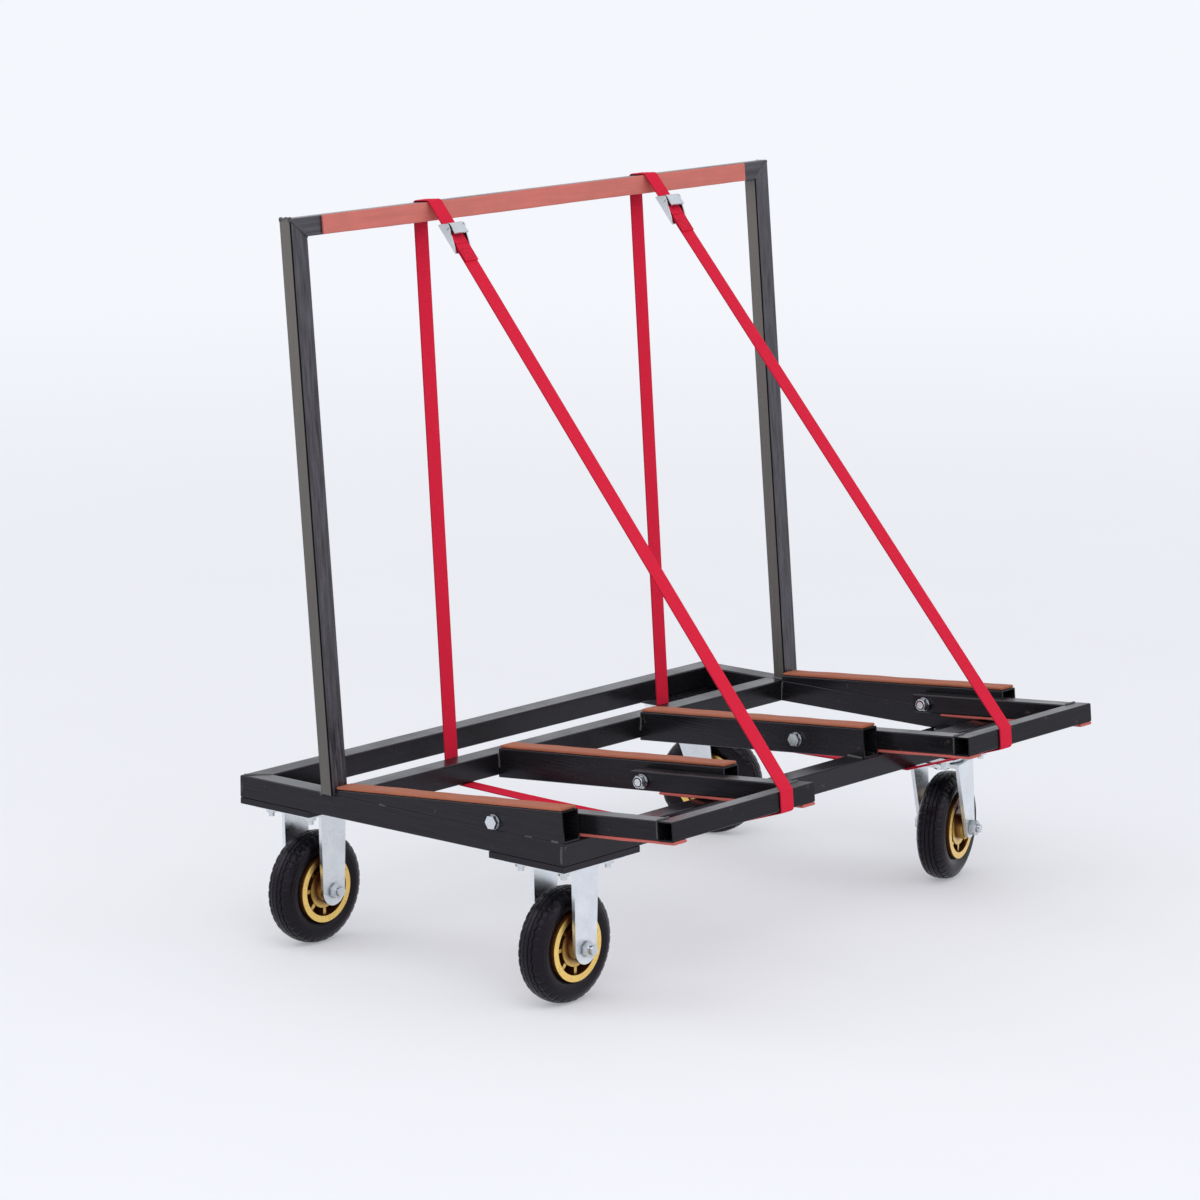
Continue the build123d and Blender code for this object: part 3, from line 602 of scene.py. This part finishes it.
def bead_surface(start, end, radius, ripple, seed):
    """Weld bead: a round section from start to end. Its radius is the given one times a slow swell, plus a ripple of
    half sines, and runs out to nothing at both ends; its middle wanders a little."""
    draw = np.random.default_rng(seed)
    size = np.linalg.norm(end - start)
    share = np.linspace(0, 1, max(12, int(size / 0.0007)))[:, None]
    place = share * size
    swell = 1 + 0.10 * np.sin(place / 0.011 + draw.uniform(0, 6))
    swell += 0.07 * np.sin(place / 0.0047 + draw.uniform(0, 6))
    steps = np.abs(np.sin(np.pi * place / ripple + draw.uniform(0, 3)))
    taper = np.sqrt(np.clip(1 - np.abs(2 * share - 1) ** max(4.0, size / radius), 0, 1))
    thick = (0.9 * radius * swell + 0.0004 * steps) * taper
    wander = 0.25 * radius * taper * np.sin(place / 0.008 + draw.uniform(0, 6))
    return round_section(start, end - start, share, thick, 12, (0.3, 0.5, 0.81), wander)


def stitch_surface(start, end, radius):
    """One stitch: a six-sided section carried from start to end, swelling as a half sine between two points."""
    share = np.linspace(0, 1, 5)[:, None]
    thick = radius * np.sqrt(np.sin(np.pi * share).clip(0, 1))
    return round_section(start, end - start, share, thick, 6, (0.2, 0.7, -0.68))


def strap_path(route, bend, standoff):
    """Middle line of webbing pulled round a route of corners in the y-z plane, with the way out at each point:
    straight runs held off by the standoff, and an arc about each corner moved in by the bend."""
    step = np.diff(route, axis=0)
    along = step / np.linalg.norm(step, axis=1, keepdims=True)
    out = np.stack([along[:, 1], -along[:, 0]], axis=1)
    lean = out[:-1] + out[1:]
    hubs = route[1:-1] - bend * lean / (1 + np.sum(out[:-1] * out[1:], axis=1, keepdims=True))
    radius = bend + standoff
    begins = np.concatenate([route[:1] + standoff * out[:1], hubs + radius * out[1:]])
    ends = np.concatenate([hubs + radius * out[:-1], route[-1:] + standoff * out[-1:]])
    lines, ways = [], []
    for index, (begin, end) in enumerate(zip(begins, ends)):
        count = max(2, int(np.linalg.norm(end - begin) / 0.006))
        lines.append(begin + np.linspace(0, 1, count)[:, None] * (end - begin))
        ways.append(np.repeat(out[index:index + 1], count, axis=0))
        if index < len(hubs):
            first, last = np.arctan2(out[index:index + 2, 1], out[index:index + 2, 0])
            turn = first + np.linspace(0, 1, 14)[1:-1] * ((last - first + np.pi) % (2 * np.pi) - np.pi)
            way = np.stack([np.cos(turn), np.sin(turn)], axis=1)
            lines.append(hubs[index] + radius * way)
            ways.append(way)
    return np.concatenate(lines), np.concatenate(ways)


def strip_surface(start, run, across, out, width, height, seed):
    """Rubber strip: a flat section carried along a straight run from the middle of its seat. Its height falls off as
    a twentieth-power round at the edges, slow sines of the place along the run move its outer face and its edges
    by a fraction of a millimetre, and the rows at both ends draw in to a closed rounded end."""
    draw = np.random.default_rng(seed)
    size = np.linalg.norm(run)
    lean = np.sin(np.linspace(-np.pi / 2, np.pi / 2, 30))
    fall = (1 - np.abs(lean) ** 20) ** 0.5
    over = there_and_back(lean, lean)[None, :] * width / 2
    rise = there_and_back(fall, -fall)[None, :] * height / 2
    ends = np.array([0, 0, 0.0003, 0.0010])
    place = np.concatenate([ends, np.linspace(0.003, size - 0.003, int(size / 0.004)), size - ends[::-1]])[:, None]
    drawn_in = np.array([0, 0.6, 0.88, 1])
    full = np.concatenate([drawn_in, np.ones(len(place) - 8), drawn_in[::-1]])[:, None]
    phase = draw.uniform(0, 6, 5)
    swell = 0.0002 * np.sin(place / 0.031 + phase[0]) + 0.0002 * np.sin(place / 0.012 + phase[1])
    wider = 0.010 * np.sin(place / 0.043 + phase[2]) + 0.006 * np.sin(place / 0.009 + phase[3])
    wander = 0.0003 * np.sin(place / 0.085 + phase[4])
    lift = height / 2 + full * (rise + np.where(rise > 0, swell, 0))
    return grid_surface(start + place[:, :, None] * run / size
                        + (over * (1 + wider) * (0.97 + 0.03 * full) + wander)[:, :, None] * across
                        + lift[:, :, None] * out)


def webbing_surface(x, line, way, width, thickness, rib_pitch, start):
    """Webbing: a flat section with shallow ribs carried along a line in the y-z plane, at x for each of its points.
    The height above and below the line falls off as an eighth-power round at the edges, and one more row closes
    each end. Also gives its flat map: length along and place across."""
    lean = np.sin(np.linspace(-np.pi / 2, np.pi / 2, 34))
    height = (1 - np.abs(lean) ** 8) ** 0.5
    height *= 1 - 0.10 * (0.5 + 0.5 * np.cos(2 * np.pi * lean * width / 2 / rib_pitch))
    over = there_and_back(lean, lean) * width / 2
    rise = there_and_back(height, -height) * thickness / 2
    x, line, way = (np.concatenate([part[:1], part, part[-1:]]) for part in (x, line, way))
    full = np.ones((len(line), 1))
    full[[0, -1]] = 0
    lift = full * rise
    points = np.stack([x[:, None] + over, line[:, :1] + way[:, :1] * lift, line[:, 1:] + way[:, 1:] * lift], axis=-1)
    flat_map = np.stack([start + walk_along(line)[:, None] + 0 * lift, over + 0 * lift], axis=-1)
    return *grid_surface(points), flat_map.reshape(-1, 2)


# Operators


class CART_OT_stage(bpy.types.Operator):
    """Pale floor, soft light and the camera"""

    bl_idname = "cart.stage"
    bl_label = "Set the stage"

    def execute(self, context):
        scene = context.scene
        scene.view_settings.view_transform = "Standard"
        self.lay_floor(scene.cart_colours.floor)
        self.light_world(scene)
        self.hang_lamp("key_lamp", (-2.6, -2.2, 4.2), (0, 0, 0.4), 3.6, 70)
        self.hang_lamp("fill_lamp", (1.6, -4.4, 2.6), (0, 0, 0.4), 3.0, 28)
        self.hang_lamp("back_lamp", (-2.6, 3.4, 3.0), (0, 0, 0.5), 3.0, 32)
        self.stand_camera(scene)
        return {"FINISHED"}

    def lay_floor(self, tone):
        """Round floor, r from 0 to 40 m by the angle; to the camera and in reflections it glows at a share of 0.3
        near the cart, a painted light that pales the cart's shadow, and beyond a few metres it turns to the
        backdrop's white.
        """
        radius = np.array([0, 1, 2, 4, 8, 16, 40.0])[:, None]
        turn = np.linspace(0, 2 * np.pi, 96, endpoint=False)[None, :]
        points = np.stack([radius * np.cos(turn), radius * np.sin(turn), 0 * radius * turn], axis=-1)
        material, tree, where = new_finish("studio_floor")
        mottled = tones(tree, noise(tree, where, 2.5, 3), tone, 0.99, 1.01)
        dress(material, {"Base Color": mottled, "Roughness": 0.9, "Specular IOR Level": 0.2})
        distance = add_node(tree, "ShaderNodeVectorMath", {0: where}, operation="LENGTH").outputs["Value"]
        # Painted light: seen by the camera and in reflections, the floor glows at 0.3 even under the cart, paling its
        # shadow, and at 1 from 7 m out
        share = work_out(tree, "MULTIPLY", spread(tree, distance, 0.3, 1, 0.3, 7.0), seen_rays(tree))
        far = add_node(tree, "ShaderNodeEmission", {"Color": (0.91, 0.93, 0.98, 1), "Strength": 1.0})
        near = tree.nodes["Principled BSDF"]
        blend = add_node(tree, "ShaderNodeMixShader", {0: share, 1: near.outputs[0], 2: far.outputs[0]})
        tree.links.new(blend.outputs["Shader"], tree.nodes["Material Output"].inputs["Surface"])
        floor = new_object("studio_floor", *grid_surface(points), material)
        if floor.data.polygons[0].normal.z < 0:
            floor.data.flip_normals()

    def light_world(self, scene):
        """Even pale light all round, shown at full white to the camera and in reflections."""
        world = bpy.data.worlds.new("studio_air")
        scene.world = world
        world.use_nodes = True
        tree = world.node_tree
        tree.nodes.clear()
        soft = add_node(tree, "ShaderNodeBackground", {"Color": (0.95, 0.97, 1, 1), "Strength": 0.72})
        white = add_node(tree, "ShaderNodeBackground", {"Color": (0.93, 0.95, 1, 1), "Strength": 1.0})
        shown = add_node(tree, "ShaderNodeMixShader",
                         {0: seen_rays(tree), 1: soft.outputs[0], 2: white.outputs[0]})
        add_node(tree, "ShaderNodeOutputWorld", {"Surface": shown.outputs[0]}, is_active_output=True)

    def hang_lamp(self, name, place, target, size, power):
        """Square soft lamp at a place, facing a target."""
        lamp = bpy.data.lights.new(name, "AREA")
        lamp.size = size
        lamp.energy = power
        holder = bpy.data.objects.new(name, lamp)
        way = Vector(target) - Vector(place)
        holder.matrix_world = Matrix.Translation(place) @ way.to_track_quat("-Z", "Y").to_matrix().to_4x4()
        bpy.context.scene.collection.objects.link(holder)

    def stand_camera(self, scene):
        """Camera at the front left, turned by its heading, dip and roll."""
        heading, dip, roll = np.radians(CAMERA_TURN)
        turned = (Matrix.Rotation(-heading, 4, "Z") @ Matrix.Rotation(np.pi / 2 - dip, 4, "X")
                  @ Matrix.Rotation(-roll, 4, "Z"))
        lens = bpy.data.cameras.new("cart_camera")
        lens.lens = CAMERA_LENS
        lens.sensor_width = 36
        lens.clip_end = 200
        camera = bpy.data.objects.new("cart_camera", lens)
        camera.matrix_world = Matrix.Translation(CAMERA_PLACE) @ turned
        scene.collection.objects.link(camera)
        scene.camera = camera


class CART_OT_paint_frame(bpy.types.Operator):
    """Black paint on the base, the deck tubes, the front frames and the back frame"""

    bl_idname = "cart.paint_frame"
    bl_label = "Paint the tubes"

    def execute(self, context):
        colours = context.scene.cart_colours
        across, deep, upright = (0.03, 1, 1), (1, 0.03, 1), (1, 1, 0.03)
        paint_nodes(black_paint(colours, "black_paint_across", across, 0.28), "front_rail", "rear_rail",
                    "cross_rail", "corner_plates")
        paint_nodes(black_paint(colours, "black_paint_deep", deep, 0.28),
                    *each(SIDES, "end_rail", "outer_deck_tube", "inner_deck_tube"))
        paint_nodes(black_paint(colours, "black_paint_bar", across, 0.18), *each(SIDES, "front_bar"))
        paint_nodes(black_paint(colours, "black_paint_leg", deep, 0.22),
                    *each(SIDES, "front_outer_leg", "front_inner_leg"))
        # The back frame's paint carries painted light on its faces towards the fixed casters' end and painted shade
        # in its edges
        paint_nodes(paint_with_painted_light(colours, "worn_paint_upright", upright), *each(SIDES, "post"))
        paint_nodes(paint_with_painted_light(colours, "worn_paint_rail", across), "top_rail")
        return {"FINISHED"}


class CART_OT_plate_hardware(bpy.types.Operator):
    """Zinc on the casters' forks and plates, the buckles and every fastener"""

    bl_idname = "cart.plate_hardware"
    bl_label = "Plate the hardware"

    def execute(self, context):
        zinc = context.scene.cart_colours.zinc
        fixed, swivelling = WHEELS[:2], WHEELS[2:]
        # Each zinc finish carries painted shade in its crevices; the fasteners' goes darkest, to 0.06 of the tone
        fasteners = zinc_plate(shade(zinc, 0.84), "zinc_fasteners", 0.010, 0.12, 0.06)
        paint_nodes(zinc_plate(zinc, "zinc_plate", 0.012, 0.22), *each(swivelling, "swivel_fork", "swivel_plate"),
                    *each(fixed, "rigid_fork"))
        paint_nodes(fasteners, "pivot_bolts", "pivot_nuts", "pivot_washers", "caster_bolts", "caster_nuts",
                    "kingpins", "swivel_balls", "rigid_axles", *each(swivelling, "axle"), *each(WHEELS, "bearing"))
        paint_nodes(zinc_plate(shade(zinc, 0.80), "zinc_buckles", 0.012, 0.30), "buckle_pins",
                    *each(SIDES, "buckle_frame", "buckle_lever"))
        self.lock_nuts(fasteners, insert_nylon(context.scene.cart_colours))
        return {"FINISHED"}

    def lock_nuts(self, metal, nylon):
        """A metal collar and a nylon insert on each pivot's nut, round the bolt's end."""
        collars, inserts = [], []
        for side, sign in SIDES.items():
            pivot = JOINTS[f"{side}_fold"]["pos_m"]
            for place, way in (("outer", -sign), ("inner", sign)):
                low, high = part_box(f"{side}_front_{place}_leg")
                leg_face = low.x if way < 0 else high.x
                centre = (leg_face + way * NUT_HEIGHT, pivot[1], pivot[2])
                collars.append(ring_surface(centre, way, *LOCK_COLLAR))
                inserts.append(ring_surface(centre, way, *LOCK_INSERT))
        new_piece("lock_collars", *join_grids(collars), metal, "base", "zinc")
        new_piece("lock_inserts", *join_grids(inserts), nylon, "base", "tyre_rubber")


class CART_OT_lay_pads(bpy.types.Operator):
    """Rubber on the deck pads, the front frames' strips and the top rail's pad"""

    bl_idname = "cart.lay_pads"
    bl_label = "Lay the rubber pads"

    def execute(self, context):
        colours, sizes = context.scene.cart_colours, context.scene.cart_sizes
        deck_rubber = soft_rubber("deck_rubber", colours.deck_rubber, (1, 0.05, 1))
        strip_rubber = soft_rubber("strip_rubber", colours.strip_rubber, (1, 0.05, 1))
        rail_rubber = soft_rubber("rail_rubber", colours.rail_rubber, (0.05, 1, 1))
        for side in SIDES:
            tubes = each([side], "outer_deck_tube", "inner_deck_tube")
            self.lay(f"{side}_deck_rubber", tubes, (PAD_END, FRAME_SETBACK - PAD_END), DECK_HEIGHT, DECK_UP,
                     (sizes.pad_width, sizes.pad_height), deck_rubber, "base", f"{side}_deck_pads")
            legs = each([side], "front_outer_leg", "front_inner_leg")
            self.lay(f"{side}_strip_rubber", legs, (BAR_FRONT, STRIP_END), BAR_FOOT, -DECK_UP,
                     (sizes.strip_width, sizes.pad_height), strip_rubber, f"{side}_front_frame",
                     f"{side}_front_strips")
        start = deck_point(-RAIL_PAD_HALF, FRAME_SETBACK, FRAME_TOP - TOP_RAIL_HEIGHT / 2)
        strip = strip_surface(start, np.array([2 * RAIL_PAD_HALF, 0, 0]), DECK_UP, -DECK_BACK,
                              TOP_RAIL_HEIGHT, RAIL_PAD, 7)
        pad = new_piece("rail_rubber", *strip, rail_rubber, "base", "rail_rubber")
        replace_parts(pad, "top_rail_pad")
        return {"FINISHED"}

    def lay(self, name, tubes, reach, above, out, size, rubber, body, node):
        """A strip along each of the tubes, from and to a reach along the deck, as one piece in place of a node."""
        strips = []
        for seed, tube in enumerate(tubes):
            low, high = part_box(tube)
            start, end = (deck_point((low.x + high.x) / 2, along, above) for along in reach)
            strips.append(strip_surface(start, end - start, np.array([1.0, 0, 0]), out, *size, seed + len(name)))
        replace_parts(new_piece(name, *join_grids(strips), rubber, body, "deck_rubber"), node)


class CART_OT_fit_wheels(bpy.types.Operator):
    """Tyres with their tread, and gold on the rims"""

    bl_idname = "cart.fit_wheels"
    bl_label = "Fit the wheels"

    def execute(self, context):
        scene = context.scene
        rubber = tyre_rubber(scene.cart_colours)
        paint_nodes(gold_paint(scene.cart_colours), *each(WHEELS, "hub"))
        for wheel in WHEELS:
            joint = JOINTS[f"{wheel}_spin"]
            surface = tyre_surface(joint["pos_m"], joint["axis"], scene.cart_sizes.tread_depth)
            tyre = new_piece(f"{wheel}_treaded_tyre", *surface, rubber, f"{wheel}_wheel", "tyre_rubber")
            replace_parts(tyre, f"{wheel}_tyre")
        return {"FINISHED"}


class CART_OT_pull_straps(bpy.types.Operator):
    """Webbing straps round the back frame, the base and the front bars, sewn below their buckles"""

    bl_idname = "cart.pull_straps"
    bl_label = "Pull the straps"

    def execute(self, context):
        sizes = context.scene.cart_sizes
        cloth = red_webbing(context.scene.cart_colours, sizes.strap_width)
        thread = seam_thread(context.scene.cart_colours)
        split = DECK_FRONT[1] + sizes.strap_split
        # Corners that a strap goes round, as (y, z): pad and rail at the top, front bar, front rail, cross rail
        top = deck_point(0, FRAME_SETBACK - RAIL_PAD, FRAME_TOP)[1:]
        rail_rear = deck_point(0, FRAME_SETBACK + POST_DEPTH, FRAME_TOP)[1:]
        bar = deck_point(0, BAR_FRONT, BAR_HEAD)[1:]
        bar_foot = deck_point(0, BAR_FRONT, BAR_FOOT)[1:]
        front_foot = np.array(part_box("front_rail")[0][1:])
        back_foot = np.array([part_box("cross_rail")[1].y, front_foot[1]])
        upper = top + (bar - top) * (split - top[0]) / (bar[0] - top[0])
        middle, half = (front_foot[0] + back_foot[0]) / 2, (back_foot[0] - front_foot[0]) / 2
        hung = np.linspace(front_foot[0], split, 12)[1:]
        share = 1 - ((hung - middle) / half) ** 2
        standoff = sizes.strap_clearance + sizes.strap_thickness / 2
        hanging = np.stack([hung, front_foot[1] - sizes.strap_sag * share], axis=1)
        taut = np.array([hanging[-1], back_foot, rail_rear, top, upper])
        slack = np.concatenate([[upper, bar, bar_foot, front_foot], hanging])
        for side, sign in SIDES.items():
            slant = (STRAP_BAR_X[side] - STRAP_RAIL_X) / (bar[0] - top[0])
            for name, route in (("back", taut), ("front", slack)):
                line, way = strap_path(route, sizes.strap_bend, standoff)
                x = sign * (STRAP_RAIL_X + slant * (line[:, 0] - top[0]))
                piece = self.weave(f"{side}_strap_{name}", x, line, way, sizes.strap_width, 0, sizes, cloth)
                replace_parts(piece, f"{side}_strap")
                if name == "front":
                    self.let_fold(piece, side, split)
            x = sign * (STRAP_RAIL_X + slant * (split - top[0]))
            self.sew_end(side, x, upper, (bar - top) / np.linalg.norm(bar - top), sizes, cloth, thread, split)
        return {"FINISHED"}

    def weave(self, name, x, line, way, width, start, sizes, cloth):
        """A length of webbing as a piece."""
        points, quads, flat_map = webbing_surface(x, line, way, width, sizes.strap_thickness, sizes.rib_pitch, start)
        return new_piece(name, points, quads, cloth, "base", "webbing", flat_map)

    def let_fold(self, piece, side, split):
        """Gives a slack piece its own copy of its mesh."""
        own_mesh(piece)

    def sew_end(self, side, x, upper, down, sizes, cloth, thread, split):
        """Doubled end of the webbing below the buckle, with a box of stitches."""
        tuck_length, overlap, stitch_length, thread_radius = 0.016, 0.0004, 0.0034, 0.0005
        out = np.array([down[1], -down[0]])
        rise = sizes.strap_clearance + sizes.strap_thickness * 1.5
        for name, begin, end in (("tuck", -tuck_length, overlap), ("end", 0, sizes.seam_length)):
            line = upper + np.linspace(begin, end, 12)[:, None] * down + rise * out
            flap = self.weave(f"{side}_strap_{name}", np.full(12, x), line, np.repeat(out[None, :], 12, axis=0),
                              sizes.strap_width * 0.97, begin, sizes, cloth)
            if name == "end":
                self.let_fold(flap, side, split)
        face = rise + sizes.strap_thickness / 2
        across, first, last = sizes.strap_width * 0.36, 0.009, sizes.seam_length - 0.004
        runs = [((-across, first), (across, first)), ((-across, last), (across, last)),
                ((-across, first), (-across, last)), ((across, first), (across, last)),
                ((-across, first), (across, last))]
        stitches = []
        for start, end in runs:
            start, end = np.array(start), np.array(end)
            count = int(np.linalg.norm(end - start) / stitch_length)
            for index in range(count):
                ends = [start + (end - start) * (index + part) / count for part in (0.08, 0.84)]
                placed = [np.array([x + over, *(upper + along * down + face * out)]) for over, along in ends]
                stitches.append(stitch_surface(*placed, thread_radius))
        seam = new_piece(f"{side}_strap_seam", *join_grids(stitches), thread, "base", "webbing")
        self.let_fold(seam, side, split)


class CART_OT_run_welds(bpy.types.Operator):
    """Weld beads at the base's corners, the tubes' feet, the back frame's mitres and the front frames"""

    bl_idname = "cart.run_welds"
    bl_label = "Run the weld beads"

    def execute(self, context):
        sizes = context.scene.cart_sizes
        paint = weld_paint(context.scene.cart_colours)
        base = self.base_runs() + self.back_frame_runs()
        self.lay("frame_welds", base, "base", sizes, paint)
        for side in SIDES:
            self.lay(f"{side}_front_welds", self.front_frame_runs(side), f"{side}_front_frame", sizes, paint)
        return {"FINISHED"}

    def lay(self, name, runs, body, sizes, paint):
        """All the beads of one body as one piece; each run is its start, its end and its share of the radius."""
        beads = [bead_surface(np.array(start, float), np.array(end, float), sizes.weld_radius * share,
                              sizes.weld_ripple, seed)
                 for seed, (start, end, share) in enumerate(runs)]
        new_piece(name, *join_grids(beads), paint, body, "black_steel")

    def base_runs(self):
        """Corner seams of the base, and the feet of the deck tubes and posts."""
        low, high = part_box("front_rail")
        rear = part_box("rear_rail")[1].y
        cross_low, cross_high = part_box("cross_rail")
        inset, tube, stitch = 0.0034, 0.030, 0.013
        runs = []
        for side, sign in SIDES.items():
            edge, inner = sign * (high.x - 0.0026), sign * (high.x - tube)
            seam = (sign * (high.x - inset), low.y + inset)
            runs += [
                ((*seam, low.z + 0.001), (*seam, high.z - 0.001), 1.6),
                ((edge, rear - inset, low.z + 0.001), (edge, rear - inset, high.z - 0.001), 0.95),
                ((edge, rear - 0.003, high.z - 0.0006), (inner, rear - tube, high.z - 0.0006), 0.7),
            ]
            outside = sign * (high.x - 0.001)
            runs += [(deck_foot(outside, along, high.z), deck_foot(outside, along + stitch, high.z), 0.6)
                     for along in (0.008, 0.052, 0.30)]
            runs += [((inner, y, low.z + 0.002), (inner, y, high.z - 0.002), 0.9)
                     for y in (cross_low.y, cross_high.y)]
            for x in (corner.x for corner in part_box(f"{side}_inner_deck_tube")):
                runs += [((x, low.y + 0.003, high.z), (x, low.y + 0.028, high.z), 1.25),
                         ((x, cross_low.y, low.z + 0.010), (x, cross_low.y, high.z), 1.0)]
            near, far = sorted((corner.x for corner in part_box(f"{side}_post")), key=abs)
            back = cross_high.y - 0.0095
            runs += [(deck_foot(inner, 0.030, high.z), deck_foot(inner, 0.064, high.z), 0.45),
                     ((near, cross_low.y + 0.001, high.z), (near, back, high.z), 1.1),
                     ((near, back, high.z), (far, back, high.z), 1.1)]
        return runs

    def back_frame_runs(self):
        """Mitre seams where the top rail meets the posts, with lumps on the left one's corner."""
        front, rear = FRAME_SETBACK, FRAME_SETBACK + POST_DEPTH
        top, foot = FRAME_TOP, FRAME_TOP - TOP_RAIL_HEIGHT
        runs = []
        for side, sign in SIDES.items():
            outer = sign * max(abs(corner.x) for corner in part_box(f"{side}_post"))
            inner, edge = outer - sign * POST_WIDTH, outer - sign * 0.0022
            corner = outer - sign * 0.001
            runs += [
                deck_run((corner, front + 0.0012, top - 0.001), (inner, front + 0.0012, foot), 1.2),
                deck_run((corner, rear - 0.0008, top - 0.001), (inner, rear - 0.0008, foot), 0.85),
                deck_run((edge, front, top - 0.0015), (edge, rear, top - 0.0015), 0.8),
            ]
            if side == "left":
                runs += [deck_run((edge, front + lump, top - 0.005), (edge, front + lump, top + 0.0022), 1.15)
                         for lump in (0.002, 0.010, 0.018)]
            runs.append(deck_run((inner, front + 0.001, foot), (inner, rear - 0.001, foot), 1.0))
        return runs

    def front_frame_runs(self, side):
        """Seams where a front frame's legs meet its bar."""
        low, high = BAR_FOOT, BAR_HEAD
        along = BAR_FRONT + high - low
        runs = []
        for leg in each([side], "front_outer_leg", "front_inner_leg"):
            left, right = (corner.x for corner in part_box(leg))
            near, far = sorted((left, right), key=lambda x: abs(abs(x) - FRONT_FRAME_X))
            runs += [deck_run((left + 0.001, along, high), (right - 0.001, along, high), 0.7),
                     deck_run((near, along, low + 0.001), (near, along, high - 0.001), 1.0),
                     deck_run((far, along, low + 0.002), (far, along, high - 0.001), 0.5)]
        return runs


class CART_PT_panel(bpy.types.Panel):
    """Lists the cart's steps in the sidebar"""

    bl_idname = "CART_PT_panel"
    bl_label = "Drywall cart"
    bl_space_type = "VIEW_3D"
    bl_region_type = "UI"
    bl_category = "Cart"

    def draw(self, context):
        for step in STEPS:
            self.layout.operator(step.bl_idname)
        for group in (context.scene.cart_sizes, context.scene.cart_colours):
            for key in group.__annotations__:
                self.layout.prop(group, key)


STEPS = (CART_OT_stage, CART_OT_paint_frame, CART_OT_plate_hardware, CART_OT_lay_pads, CART_OT_fit_wheels,
         CART_OT_pull_straps, CART_OT_run_welds)
CLASSES = (CartSizes, CartColours, *STEPS, CART_PT_panel)


def register():
    for item in CLASSES:
        bpy.utils.register_class(item)
    bpy.types.Scene.cart_sizes = bpy.props.PointerProperty(type=CartSizes)
    bpy.types.Scene.cart_colours = bpy.props.PointerProperty(type=CartColours)


def unregister():
    del bpy.types.Scene.cart_colours
    del bpy.types.Scene.cart_sizes
    for item in reversed(CLASSES):
        bpy.utils.unregister_class(item)


def main():
    register()
    bpy.ops.cart.stage()
    bpy.ops.cart.paint_frame()
    bpy.ops.cart.plate_hardware()
    bpy.ops.cart.lay_pads()
    bpy.ops.cart.fit_wheels()
    bpy.ops.cart.pull_straps()
    bpy.ops.cart.run_welds()


if __name__ == "__main__":
    main()
